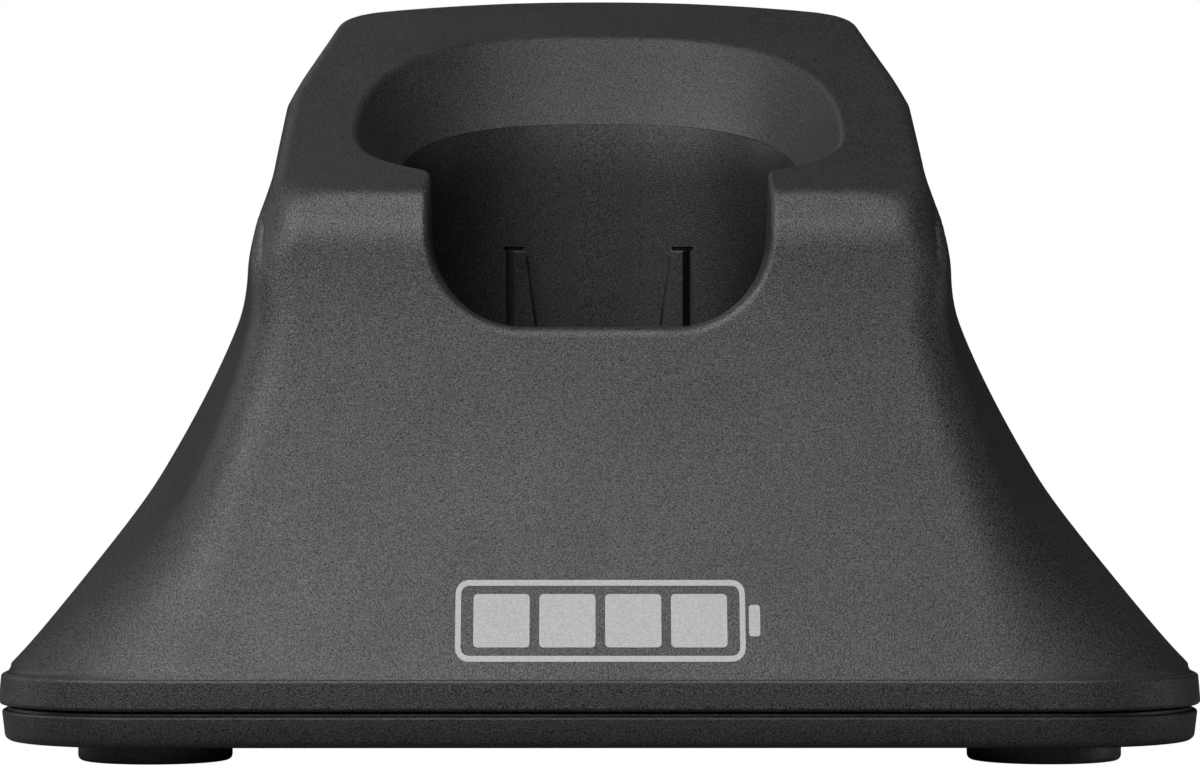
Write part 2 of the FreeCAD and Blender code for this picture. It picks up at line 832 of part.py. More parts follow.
def base_tray():
    """The tray that closes the stand from below, with a tongue inside the housing's skirt."""
    body = DOC.addObject("PartDesign::Body", "base_tray_form")

    def outline(name, inset):
        sketch = body_sketch(body, name, "XY_Plane")
        corner = f"base_corner - {inset}"
        rounded_outline(
            sketch, f"half_width - {inset}", f"half_depth - {inset}", f"half_depth - {inset}", corner, corner
        )
        return sketch

    def pad(name, sketch, height):
        made = body.newObject("PartDesign::Pad", name)
        made.Profile = sketch
        bind(made, Length=height)
        body.Tip = made
        return made

    pad("tray_floor_pad", outline("tray_plan", "tray_inset"), "tray_height")
    tongue = "flange_step + wall + tongue_gap"
    pad("tongue_pad", outline("tongue_plan", f"({tongue})"), "tray_height + tongue_height")
    inner = outline("tray_inner_plan", f"({tongue} + tongue_wall)")
    inner.AttachmentOffset = FreeCAD.Placement(FreeCAD.Vector(0, 0, SIZES["tray_floor"]), FreeCAD.Rotation())
    inner.setExpression(".AttachmentOffset.Base.z", full("tray_floor"))
    room = body.newObject("PartDesign::Pocket", "tray_room")
    room.Profile = inner
    room.Reversed = True
    bind(room, Length="tray_height + tongue_height")
    body.Tip = room
    place(body, 0, 0, "tray_bottom")

    rise = "board_height - tray_inside + tray_floor / 2"
    posts = [
        cylinder(f"board_post_{i}", "post_radius", rise, x, y, "tray_inside - tray_floor / 2")
        for i, (x, y) in enumerate(BOARD_SCREWS)
    ]
    rise = "ballast_thickness + tray_floor / 2"
    posts += [
        cylinder(f"ballast_post_{i}", "post_radius", rise, x, y, "tray_inside - tray_floor / 2")
        for i, (x, y) in enumerate(BALLAST_SCREWS)
    ]
    holes = [
        cylinder(f"foot_hole_{i}", FOOT_HOLE, "tray_height", x, y, "tray_bottom - over / 2")
        for i, (x, y) in enumerate(FEET.values())
    ]
    for i, (x, y) in enumerate(BASE_SCREWS):
        wide = "screw_head_radius + 2 * hole_gap"
        holes.append(cylinder(f"sink_{i}", wide, "screw_head_height + over", x, y, "tray_bottom - over"))
        through = "screw_radius + hole_gap"
        holes.append(cylinder(f"base_hole_{i}", through, "tray_height", x, y, "tray_bottom"))
    holes += [
        cylinder(f"board_pilot_{i}", SCREW_PILOT, "board_height", x, y, "board_height - board_pilot")
        for i, (x, y) in enumerate(BOARD_SCREWS)
    ]
    holes += [
        cylinder(f"ballast_pilot_{i}", SCREW_PILOT, "board_height", x, y, "ballast_top - ballast_pilot")
        for i, (x, y) in enumerate(BALLAST_SCREWS)
    ]
    return cut("base_tray", fuse("tray_solid", body, *posts), *holes)


def rubber_foot(name, x, y):
    """A push-in foot: disc, narrower collar, stem through the tray and a holding head."""
    top = "foot_height"
    corners = [
        ("0", "0"),
        ("foot_radius - foot_rim_round", "0"),
        ("foot_radius", "foot_rim_round"),
        ("foot_radius", f"{top} - foot_collar_height"),
        ("foot_collar_radius", f"{top} - foot_collar_height"),
        ("foot_collar_radius", top),
        ("foot_stem_radius", top),
        ("foot_stem_radius", f"{top} + tray_floor"),
        ("foot_head_radius", f"{top} + tray_floor"),
        ("foot_stem_radius", f"{top} + tray_floor + foot_head_height"),
        ("0", f"{top} + tray_floor + foot_head_height"),
    ]
    return turned_body(name, corners, x, y, "0")


def ballast_plate():
    size = ("ballast_length", "ballast_width", "ballast_thickness")
    plate = box("ballast_blank", size, "0", "-ballast_set", "tray_inside")
    holes = [
        cylinder(
            f"ballast_hole_{i}",
            "post_radius + hole_gap",
            "ballast_thickness + 2 * over",
            x,
            y,
            "tray_inside - over",
        )
        for i, (x, y) in enumerate(BALLAST_SCREWS)
    ]
    return cut("ballast_plate", plate, *holes)


# ---- electronics --------------------------------------------------------------------


def charge_board():
    size = ("board_length", "board_width", "board_thickness")
    blank = box("board_blank", size, "0", "board_set", "board_height")
    holes = [
        cylinder(f"board_hole_{i}", SCREW_HOLE, "board_thickness + 2 * over", x, y, "board_height - over")
        for i, (x, y) in enumerate(BOARD_SCREWS)
    ]
    return cut("charge_board", blank, *holes)


def board_parts():
    """The loose components that stand on the board."""
    left, right = "-board_length / 4", "board_length / 4"
    cylinder("capacitor", "capacitor_radius", "capacitor_height", left, "board_set", "board_top")
    tall = "inductor_height"
    ring = cylinder("inductor_ring", "inductor_radius", tall, right, "board_set", "board_top")
    eye = "inductor_radius / 3"
    hole = cylinder("inductor_hole", eye, tall, right, "board_set", "board_top + inductor_web")
    cut("power_inductor", ring, hole)
    size = ("chip_length", "chip_width", "chip_height")
    box("charge_controller", size, right, "board_set - board_width / 4 - chip_shift", "board_top")
    size = ("diode_length", "diode_width", "diode_height")
    diodes = [
        box(f"diode_{i}", size, f"{left} + {i - 1} * diode_pitch", "board_set - board_width / 3", "board_top")
        for i in range(3)
    ]
    group("board_diodes", diodes)
    size = ("plug_length", "plug_width", "plug_height")
    box("board_plug", size, "0", PLUG_MIDDLE, "board_top")


PLUG_FRONT = "(board_set - board_width / 2 + plug_edge)"
PLUG_MIDDLE = f"{PLUG_FRONT} + plug_width / 2"


def power_jack():
    """The inlet: a block on the board whose round nose reaches into the housing's port."""
    size = ("jack_width", "jack_length", "jack_body_height")
    block = box("jack_block", size, "0", "jack_back - jack_length / 2", "board_top")
    length = "jack_nose_length + 2 * over"
    nose = lying_cylinder("jack_nose", "jack_nose_radius", length, "0", "jack_back - 2 * over", "jack_axis")
    bore = lying_cylinder("jack_socket", "jack_bore", BIG, "0", "jack_face - jack_bore_depth", "jack_axis")
    cut("power_jack", fuse("jack_solid", block, nose), bore)
    lying_cylinder(
        "jack_pin", "jack_pin_radius", "jack_pin_length", "0", "jack_face - jack_bore_depth", "jack_axis"
    )


def tangent_path(points):
    """Straight runs joined by arcs, each arc as large as its two runs allow."""
    spots = [FreeCAD.Vector(*point) for point in points]
    edges = []
    start = spots[0]
    for before, here, after in zip(spots, spots[1:], spots[2:]):
        back = before - here
        ahead = after - here
        reach = 0.45 * min(back.Length, ahead.Length)
        back.normalize()
        ahead.normalize()
        first = here + back * reach
        last = here + ahead * reach
        half_turn = (math.pi - back.getAngle(ahead)) / 2
        radius = reach / math.tan(half_turn)
        print(f"lead bend radius {radius:.2f}")
        middle = (first + last) * 0.5 - here
        centre = here + middle * (math.hypot(radius, reach) / middle.Length)
        towards = here - centre
        towards.normalize()
        edges.append(Part.LineSegment(start, first).toShape())
        edges.append(Part.Arc(first, centre + towards * radius, last).toShape())
        start = last
    edges.append(Part.LineSegment(start, spots[-1]).toShape())
    return Part.Wire(edges)


def contact_lead(name, x, plug_x):
    """The insulated wire from a barrel's tail round to the plug on the board."""
    y = number("-contact_set")
    tail = number("barrel_top - barrel_length - tail_length")
    low = tail - number("lead_drop")
    front = number(PLUG_FRONT)
    high = number("board_top + plug_height / 2")
    block_back = number("block_width / 2 - contact_set")
    near = (block_back + number("board_set - board_width / 2")) / 2
    points = [
        (x, y, tail),
        (x, y, low),
        (plug_x, near, low),
        (plug_x, near, high),
        (plug_x, front, high),
    ]
    path = tangent_path(points)
    circle = Part.Circle(FreeCAD.Vector(x, y, tail), FreeCAD.Vector(0, 0, -1), number("lead_radius"))
    profile = Part.Wire([circle.toShape()])
    lead = DOC.addObject("Part::Feature", name)
    lead.Shape = path.makePipeShell([profile], True, True)
    expected = math.pi * number("lead_radius") ** 2 * path.Length
    print(f"{name}: volume {lead.Shape.Volume:.2f}, section times length {expected:.2f}")
    return lead


# ---- assembly --------------------------------------------------------------------------

top_housing()
dock_cup()
contact_block()
for side, x in SIDES.items():
    contact_barrel(side, x)
    contact_pin(side, x)
    contact_spring(side, x)
base_tray()
for name, (x, y) in FEET.items():
    rubber_foot(name, x, y)
ballast_plate()
charge_board()
board_parts()
power_jack()
contact_lead("lead_positive", number("-contact_spacing / 2"), number("-lead_spacing / 2"))
contact_lead("lead_negative", number("contact_spacing / 2"), number("lead_spacing / 2"))
small_screws("cup_screws", CUP_SCREWS, "ear_height", "ear_thickness + thread_grip - 2 * tip_room")
small_screws("block_screws", BLOCK_SCREWS, "block_bottom", "block_height + cup_floor_thickness - tip_room")
length = "board_thickness + board_pilot - tip_room / 2"
small_screws("board_screws", BOARD_SCREWS, "board_top", length, down=True)
small_screws("ballast_screws", BALLAST_SCREWS, "ballast_top", "ballast_pilot - tip_room / 2", down=True)
group(
    "base_screws",
    [
        screw(
            f"base_screw_{i}",
            "screw_radius",
            "screw_head_radius",
            "screw_head_height",
            "tray_floor - screw_head_height + thread_grip - tip_room",
            x,
            y,
            "tray_bottom + screw_head_height",
        )
        for i, (x, y) in enumerate(BASE_SCREWS)
    ],
)

NODES = (
    ["top_housing", "dock_cup", "contact_block", "base_tray", "ballast_plate", "charge_board"]
    + [f"contact_{kind}_{side}" for kind in ("barrel", "pin", "spring") for side in SIDES]
    + list(FEET)
    + ["capacitor", "power_inductor", "charge_controller", "board_diodes", "board_plug"]
    + ["power_jack", "jack_pin", "lead_positive", "lead_negative"]
    + ["cup_screws", "block_screws", "board_screws", "ballast_screws", "base_screws"]
)


def check_and_write():
    DOC.recompute()
    faults = [item.Name for item in DOC.Objects if {"Invalid", "Error"} & set(item.State)]
    for name in NODES:
        shape = DOC.getObject(name).Shape
        if shape.isNull() or not shape.isValid() or not shape.Solids:
            faults.append(name)
    if faults:
        raise RuntimeError(f"failed objects: {faults}")
    os.makedirs("parts", exist_ok=True)
    for name in NODES:
        node = DOC.getObject(name)
        node.Label = name
        node.Shape.exportStep(f"parts/{name}.step")
        solids = len(node.Shape.Solids)
        print(f"{name}: {solids} solid(s), {node.Shape.Volume:.1f} mm3")


check_and_write()
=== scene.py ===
import math

import bmesh
import bpy
import numpy as np
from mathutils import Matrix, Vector
from mathutils.geometry import delaunay_2d_cdt


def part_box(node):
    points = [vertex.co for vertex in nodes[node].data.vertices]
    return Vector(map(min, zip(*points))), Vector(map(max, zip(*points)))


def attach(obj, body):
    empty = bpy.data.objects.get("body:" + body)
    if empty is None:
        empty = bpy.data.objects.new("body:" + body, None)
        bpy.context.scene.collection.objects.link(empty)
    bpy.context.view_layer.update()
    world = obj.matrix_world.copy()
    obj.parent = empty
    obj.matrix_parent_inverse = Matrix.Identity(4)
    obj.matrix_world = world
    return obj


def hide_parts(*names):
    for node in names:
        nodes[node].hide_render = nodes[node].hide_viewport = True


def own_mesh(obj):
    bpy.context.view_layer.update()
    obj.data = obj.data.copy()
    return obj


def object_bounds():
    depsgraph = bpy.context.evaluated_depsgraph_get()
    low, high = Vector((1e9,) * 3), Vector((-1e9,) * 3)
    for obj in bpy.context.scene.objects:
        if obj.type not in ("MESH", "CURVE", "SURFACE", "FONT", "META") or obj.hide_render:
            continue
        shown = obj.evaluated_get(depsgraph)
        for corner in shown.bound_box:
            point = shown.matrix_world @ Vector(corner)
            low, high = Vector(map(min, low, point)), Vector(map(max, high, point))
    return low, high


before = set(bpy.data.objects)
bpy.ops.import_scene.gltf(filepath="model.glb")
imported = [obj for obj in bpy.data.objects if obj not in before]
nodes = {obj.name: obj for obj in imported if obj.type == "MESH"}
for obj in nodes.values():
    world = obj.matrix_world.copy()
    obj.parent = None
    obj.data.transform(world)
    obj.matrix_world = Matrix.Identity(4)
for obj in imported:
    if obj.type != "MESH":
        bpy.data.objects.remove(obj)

cad_low, cad_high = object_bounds()

# ---- room and camera ------------------------------------------------------------
# A pale studio sweep, one large overhead softbox in front of the stand and weaker
# lights round it, seen through a long lens a little below the stand's mid height.

MM = 0.001
FRONT = cad_low.y
LENS = 148.3
SENSOR = 36.0
EYE_DISTANCE = 0.480
EYE_HEIGHT = 0.03786
EYE_SIDE = -0.0019
AIM_DEPTH = 0.012
LIGHT_AIM = (0, 0, 0.03)

camera_data = bpy.data.cameras.new("camera")
camera_data.lens = LENS
camera_data.sensor_width = SENSOR
camera = bpy.data.objects.new("camera", camera_data)
bpy.context.scene.collection.objects.link(camera)
camera.location = (EYE_SIDE, FRONT - EYE_DISTANCE, EYE_HEIGHT)
camera.rotation_euler = (math.radians(90), 0, math.atan2(EYE_SIDE, EYE_DISTANCE + AIM_DEPTH))
bpy.context.scene.camera = camera


def paper():
    """Pale matt paper that shows as blown-out white but throws little light back."""
    made = bpy.data.materials.new("pale_paper")
    made.use_nodes = True
    tree = made.node_tree
    shader = tree.nodes["Principled BSDF"]
    shader.inputs["Base Color"].default_value = (0.16, 0.16, 0.16, 1)
    shader.inputs["Roughness"].default_value = 0.9
    glow = tree.nodes.new("ShaderNodeEmission")
    glow.inputs["Color"].default_value = (1, 1, 1, 1)
    path = tree.nodes.new("ShaderNodeLightPath")
    mix = tree.nodes.new("ShaderNodeMixShader")
    tree.links.new(path.outputs["Is Camera Ray"], mix.inputs["Fac"])
    tree.links.new(shader.outputs["BSDF"], mix.inputs[1])
    tree.links.new(glow.outputs["Emission"], mix.inputs[2])
    tree.links.new(mix.outputs["Shader"], tree.nodes["Material Output"].inputs["Surface"])
    return made


def sweep():
    """Floor that turns up into a back wall: a straight run, a quarter circle, a straight run."""
    across = np.linspace(-3, 3, 9)
    bend = np.linspace(0, math.pi / 2, 17)
    radius = 0.9
    depth = np.concatenate([[-2.5, 1.2], 1.2 + radius * np.sin(bend)[1:], [1.2 + radius]])
    height = np.concatenate([[0, 0], radius - radius * np.cos(bend)[1:], [3.5]])
    x, y = np.meshgrid(across, depth, indexing="ij")
    z = np.broadcast_to(height, x.shape)
    points = np.stack([x, y, z], -1).reshape(-1, 3)
    rows, columns = x.shape
    index = np.arange(rows * columns).reshape(rows, columns)
    quads = np.stack(
        [index[:-1, :-1], index[1:, :-1], index[1:, 1:], index[:-1, 1:]], -1
    ).reshape(-1, 4)
    mesh = bpy.data.meshes.new("studio_sweep")
    mesh.from_pydata(points.tolist(), [], quads.tolist())
    mesh.shade_smooth()
    made = bpy.data.objects.new("studio_sweep", mesh)
    bpy.context.scene.collection.objects.link(made)
    made.data.materials.append(paper())


def softbox(name, place, size, power):
    """A rectangular area light at place, facing the stand."""
    data = bpy.data.lights.new(name, "AREA")
    data.shape = "RECTANGLE"
    data.size, data.size_y = size
    data.energy = power
    made = bpy.data.objects.new(name, data)
    bpy.context.scene.collection.objects.link(made)
    made.location = place
    way = np.array(place, float) - np.array(LIGHT_AIM, float)
    yaw = math.atan2(way[0], -way[1])
    tilt = math.atan2(math.hypot(way[0], way[1]), way[2])
    made.rotation_euler = (tilt, 0, yaw)


sweep()
softbox("key_light", (-0.22, -0.42, 0.90), (0.75, 0.58), 11.0)
softbox("left_key", (-0.60, -0.75, 0.60), (0.4, 0.5), 2.0)
softbox("front_fill", (-0.2, -1.25, 0.45), (1.0, 0.5), 3.0)
softbox("left_fill", (-1.1, 0.25, 0.45), (0.5, 0.6), 3.2)
softbox("right_fill", (1.2, -0.1, 0.2), (0.4, 0.3), 1.6)
softbox("back_fill", (-0.5, 1.3, 0.95), (0.6, 0.3), 0.6)

world = bpy.data.worlds.new("studio")
bpy.context.scene.world = world
world.use_nodes = True
backdrop = world.node_tree.nodes["Background"]
backdrop.inputs["Color"].default_value = (1, 1, 1, 1)
backdrop.inputs["Strength"].default_value = 0.02
bpy.context.scene.view_settings.view_transform = "Standard"

# ---- housing --------------------------------------------------------------------
# The moulded shell: one skin that runs from the mouth and the notch, over the sloping
# top and the flared walls, down to the flange. Black ABS with a fine sparked grain,
# injection moulded and screwed to the tray from below.

HALF_WIDTH = cad_high.x / MM
DEPTH = (cad_high.y - cad_low.y) / MM
FLANGE_TOP = 9.0
FLANGE_BOTTOM = 5.9
FLANGE_STEP = 0.8
FLANGE_DRAFT = 0.2
BASE_CORNER = 14.5
CREASE_HEIGHT = 57.5
CREASE_DEPTH = 22.0
CREASE_CORNER = 4.5
CHAMFER_DROP = 3.7
CHAMFER_RUN = 2.8
TOP_SLOPE = math.radians(19.8)
SHOULDER = 34.4
SHOULDER_BACK = 11.0
CROWN_BACK = 15.1
CROWN_HEIGHT = 81.8
CROWN_SHRINK = 1.1
FLARE_POWER = 1.47
FRONT_BOW = 0.5
BACK_BOW = 5.1
BOW_START = 40
SIDE_LIFT = 0.3
SIDE_SPREAD = 0.5
SIDE_BULGE = 11.4
SHOULDER_LIFT = 0.6
RIDGE_CREASE, RIDGE_FOOT = 4.0, 12.0
WALL = 2.2
COLLAR = 1.6
OVAL = 2.6
HEART = (0.0, 50.0, 25.0)
REACH = 110.0


def smooth_max(a, b, k):
    """max(a, b) with the corner rounded over a width k: adds h*h*k/4, h = 1 - |a-b|/k."""
    h = np.clip(1 - np.abs(a - b) / k, 0, None)
    return np.maximum(a, b) + h * h * k / 4


def step_up(value, edge, width):
    """0 before edge, 1 after edge + width, a smooth cubic between."""
    t = np.clip((value - edge) / width, 0, 1)
    return t * t * (3 - 2 * t)


def top_height(depth):
    """Height of the sloping top's plane at a depth behind the front."""
    return CREASE_HEIGHT + (depth - CREASE_DEPTH) * math.tan(TOP_SLOPE)


def flare(z):
    """Share of the rise left below the crease, its power FLARE_POWER, and that power's slope.

    The power is 1 at the flange and 0 at the crease."""
    rise = CREASE_HEIGHT - FLANGE_TOP
    t = np.clip((CREASE_HEIGHT - z) / rise, 0, 1.1)
    return t, t**FLARE_POWER, FLARE_POWER * t ** (FLARE_POWER - 1) / rise


def body_form(p):
    """Signed distance, roughly, from the outside of the closed housing, mouth ignored.

    p holds x, depth and z in mm. Side, front and back walls follow the flare. The sides
    bulge between the corner ridges, and the crown draws in towards the back."""
    x, d, z = np.abs(p[..., 0]), p[..., 1], p[..., 2]
    t, f, slope = flare(z)
    side_run = HALF_WIDTH - FLANGE_STEP - SHOULDER
    front_run = CREASE_DEPTH - CHAMFER_RUN - FLANGE_STEP
    back_run = SHOULDER_BACK - FLANGE_STEP
    above = (z - CREASE_HEIGHT) / (CROWN_HEIGHT - CREASE_HEIGHT)
    above = (above + np.sqrt(above**2 + 0.06)) / 2
    front = FLANGE_STEP + front_run * (1 - f) + FRONT_BOW * (x / 50) ** 2
    back = DEPTH - FLANGE_STEP - back_run * (1 - f) - (CROWN_BACK - SHOULDER_BACK) * above
    bow = 0.3 + BACK_BOW * np.clip((z - BOW_START) / (CROWN_HEIGHT - BOW_START), 0, 1) ** 2
    back = back - bow * (x / 27) ** 2.2
    middle = (front + back) / 2
    reach = (back - front) / 2
    bulge = SIDE_SPREAD + SIDE_BULGE * t * step_up(t, 0.02, 0.3) * (1 - np.clip(t, 0, 1) ** 10)
    power = 2 + 4 * step_up(t, 0.6, 0.4)
    shoulder = SHOULDER_LIFT * step_up(z, 44, 7) * (1 - step_up(z, 54, 6)) * (1 - step_up(d, 44, 22))
    side = SHOULDER + SIDE_LIFT + (side_run + SIDE_SPREAD) * f
    side = side - bulge * np.abs((d - middle) / reach) ** power
    side = np.minimum(side + shoulder, HALF_WIDTH - FLANGE_STEP)
    taper = step_up(z, 42, 28)
    behind = np.clip(d - 53, 0, None)
    side = side - taper * (0.10 * behind + 0.0012 * behind**2) - CROWN_SHRINK * taper
    front_gap = (front - d) / np.sqrt(1 + (front_run * slope) ** 2)
    back_gap = (d - back) / np.sqrt(1 + (back_run * slope) ** 2)
    side_gap = (x - side) / np.sqrt(1 + (side_run * slope) ** 2)
    ridge = RIDGE_CREASE + RIDGE_FOOT * np.clip(t, 0, 1) ** 8
    gap = smooth_max(side_gap, smooth_max(front_gap, back_gap, 1.0), ridge)
    lean = math.atan2(CHAMFER_DROP, CHAMFER_RUN)
    over = np.clip(x - SHOULDER + CREASE_CORNER, 0, CREASE_CORNER - 0.3)
    crease = CREASE_DEPTH + CREASE_CORNER - np.sqrt(CREASE_CORNER**2 - over**2)
    chamfer = (crease - d) * math.sin(lean) + (z - CREASE_HEIGHT) * math.cos(lean)
    gap = smooth_max(gap, chamfer, 0.9)
    top = (z - top_height(d)) * math.cos(TOP_SLOPE)
    edge = 0.5 + 1.2 * step_up(x, 26, 7) * (1 - step_up(d, 74, 12)) + 0.3 * step_up(d, 60, 10)
    return smooth_max(gap, top, edge)


def cast(directions, form, level=0.0):
    """Where rays from the heart of the stand meet form = level, by bisection."""
    unit = directions / np.linalg.norm(directions, axis=-1, keepdims=True)
    near = np.zeros(unit.shape[:-1])
    far = np.full(unit.shape[:-1], REACH)
    for _ in range(34):
        mid = (near + far) / 2
        outside = form(HEART + unit * mid[..., None]) > level
        far = np.where(outside, mid, far)
        near = np.where(outside, near, mid)
    return HEART + unit * ((near + far) / 2)[..., None]


def gradient(p, form):
    """Outward unit normal of form at p, from central differences."""
    step = 0.02
    parts = []
    for axis in range(3):
        shift = np.zeros(3)
        shift[axis] = step
        parts.append(form(p + shift) - form(p - shift))
    normal = np.stack(parts, -1)
    return normal / np.linalg.norm(normal, axis=-1, keepdims=True)


def along(points, share):
    """Points at the given shares of a polyline's length."""
    length = np.concatenate([[0], np.cumsum(np.linalg.norm(np.diff(points, axis=0), axis=1))])
    want = np.asarray(share) * length[-1]
    return np.stack([np.interp(want, length, points[:, i]) for i in range(points.shape[1])], 1)


def squircle(width, front, back, start, end, count):
    """Arc of a superellipse |x/a|^OVAL + |y/b|^OVAL = 1 about (0, 0), b differing front and back.

    start and end are angles from the +x axis; the points are spread evenly along it."""
    angle = np.linspace(start, end, 3000)
    c, s = np.cos(angle), np.sin(angle)
    x = width * np.sign(c) * np.abs(c) ** (2 / OVAL)
    y = np.where(s > 0, back, front) * np.sign(s) * np.abs(s) ** (2 / OVAL)
    return along(np.stack([x, y], 1), np.linspace(0, 1, count))


MOUTH_CENTRE = 42.0
MOUTH = (25.6, 16.2, 33.8)
WELL_CENTRE = 45.0
WELL = (21.5, 17.5, 21.0)
FLARE_DROP = 6.9
NOTCH_HALF = 17.3
NOTCH_BOTTOM = 43.5
NOTCH_CORNER = 9.8
NOTCH_FILLET = 1.6
SIDE_POINTS = 26
RIM_NOTCH = 1.2
RIM_MOUTH = 0.6


def oval_share(x, half_width):
    """Share of a superellipse's reach that is left at x: (1 - |x/a|^OVAL)^(1/OVAL)."""
    return (1 - (np.abs(x) / half_width) ** OVAL) ** (1 / OVAL)


def oval_angle(x, half_width):
    """Angle whose point on the superellipse lies at x."""
    return math.acos((x / half_width) ** (OVAL / 2))


def well_front(x):
    """Depth of the well's front wall at x."""
    return WELL_CENTRE - WELL[1] * oval_share(x, WELL[0])


def face_depth(x, z, outer=-5.0, inner=40.0):
    """Depth of the housing's wall at x and z, between a depth outside it and one inside it."""
    out, within = np.full(x.shape, outer), np.full(x.shape, inner)
    for _ in range(30):
        mid = (out + within) / 2
        outside = body_form(np.stack([x, mid, z], -1)) > 0
        out, within = np.where(outside, mid, out), np.where(outside, within, mid)
    return (out + within) / 2


def rim_loops():
    """Right half of the edge loop E on the skin and of the inner loop K, bottom of the notch first.

    E runs along the notch's floor, round its corner, up its side and along the top to the
    mouth, then round the mouth. K is where the walls of that opening meet the cup."""
    flat = np.linspace(0, NOTCH_HALF - NOTCH_CORNER, 15)[:-1]
    turn = np.linspace(0, math.pi / 2, 36)
    x = np.concatenate([flat, NOTCH_HALF - NOTCH_CORNER + NOTCH_CORNER * np.sin(turn)])
    z = np.concatenate([flat * 0 + NOTCH_BOTTOM, NOTCH_BOTTOM + NOTCH_CORNER * (1 - np.cos(turn))])
    edge = [np.stack([x, face_depth(x, z), z], 1)]
    inner = [np.stack([x, well_front(x), z], 1)]

    corner_z = NOTCH_BOTTOM + NOTCH_CORNER
    front = face_depth(np.array([NOTCH_HALF]), np.array([corner_z]))[0]
    face = np.array(
        [
            [front, corner_z],
            [CREASE_DEPTH - CHAMFER_RUN, CREASE_HEIGHT - CHAMFER_DROP],
            [CREASE_DEPTH, CREASE_HEIGHT],
        ]
    )
    mouth_edge = MOUTH_CENTRE - MOUTH[1] * oval_share(NOTCH_HALF, MOUTH[0])
    top_d = mouth_edge - NOTCH_FILLET
    face = np.concatenate([face, [[top_d, top_height(top_d)]]])
    side = along(face, np.linspace(0, 1, SIDE_POINTS + 1)[1:])
    across = np.full(SIDE_POINTS, NOTCH_HALF)
    edge.append(np.column_stack([across, side]))
    lip_z = top_height(well_front(NOTCH_HALF)) - FLARE_DROP
    inner_z = np.linspace(corner_z, lip_z, SIDE_POINTS + 1)[1:]
    inner.append(np.stack([across, well_front(across), inner_z], 1))

    angle = -oval_angle(NOTCH_HALF + 1.2, MOUTH[0])
    mouth = squircle(*MOUTH, angle, math.pi / 2, 121)
    start = np.array([NOTCH_HALF, top_d - MOUTH_CENTRE])
    knee = np.array([NOTCH_HALF, mouth_edge + 0.1 - MOUTH_CENTRE])
    s = np.linspace(0, 1, 9)[1:-1, None]
    bend = (1 - s) ** 2 * start + 2 * s * (1 - s) * knee + s**2 * mouth[0]
    plan = np.concatenate([bend, mouth])
    d = plan[:, 1] + MOUTH_CENTRE
    edge.append(np.stack([plan[:, 0], d, top_height(d)], 1))
    angle = -oval_angle(NOTCH_HALF, WELL[0])
    plan = squircle(*WELL, angle, math.pi / 2, len(plan) + 1)[1:]
    d = plan[:, 1] + WELL_CENTRE
    inner.append(np.stack([plan[:, 0], d, top_height(d) - FLARE_DROP], 1))
    return np.concatenate(edge), np.concatenate(inner)


def both_sides(half):
    """The right half and its mirror image as one closed loop, centre points used once."""
    mirrored = half[-2:0:-1] * np.array([-1, 1, 1])
    return np.concatenate([half, mirrored])


def base_outline(inset, shares):
    """Right half of the flange's plan, moved in by inset: front centre, round the corner, to the back."""
    w, r = HALF_WIDTH - inset, BASE_CORNER - inset
    turn = np.linspace(0, math.pi / 2, 60)
    parts = [
        np.array([[0.0, inset]]),
        np.stack([w - r + r * np.sin(turn), inset + r - r * np.cos(turn)], 1),
        np.stack([w - r + r * np.cos(turn), DEPTH - inset - r + r * np.sin(turn)], 1),
        np.array([[0.0, DEPTH - inset]]),
    ]
    return along(np.concatenate(parts), shares)


def build_piece(name, points, faces, normals=None):
    """A mesh object from points in mm (x, depth, z), in the stand's own frame."""
    place = np.stack([points[:, 0], points[:, 1] + FRONT / MM, points[:, 2]], 1) * MM
    mesh = bpy.data.meshes.new(name)
    mesh.from_pydata(place.tolist(), [], [list(map(int, f)) for f in faces])
    mesh.shade_smooth()
    if normals is not None:
        mesh.normals_split_custom_set_from_vertices(normals.tolist())
    made = bpy.data.objects.new(name, mesh)
    bpy.context.scene.collection.objects.link(made)
    return made


def grid_faces(rows, columns, closed_rows=False):
    """Quads of a grid whose columns close on themselves, and whose rows may."""
    index = np.arange(rows * columns).reshape(rows, columns)
    index = np.concatenate([index, index[:, :1]], 1)
    if closed_rows:
        index = np.concatenate([index, index[:1]], 0)
    return np.stack(
        [index[:-1, :-1], index[1:, :-1], index[1:, 1:], index[:-1, 1:]], -1
    ).reshape(-1, 4)


def grid_normals(grid):
    """Unit normals of a closed grid from the cross product of its two directions."""
    around = np.roll(grid, -1, 1) - np.roll(grid, 1, 1)
    down = np.roll(grid, -1, 0) - np.roll(grid, 1, 0)
    normal = np.cross(down, around)
    return normal / np.maximum(np.linalg.norm(normal, axis=-1, keepdims=True), 1e-12)


PATH_STEPS = 420
BEND_WEIGHT = 3.0
SMOOTHING = 23
SKIN_ROWS = 112
LINING_ROWS = 50


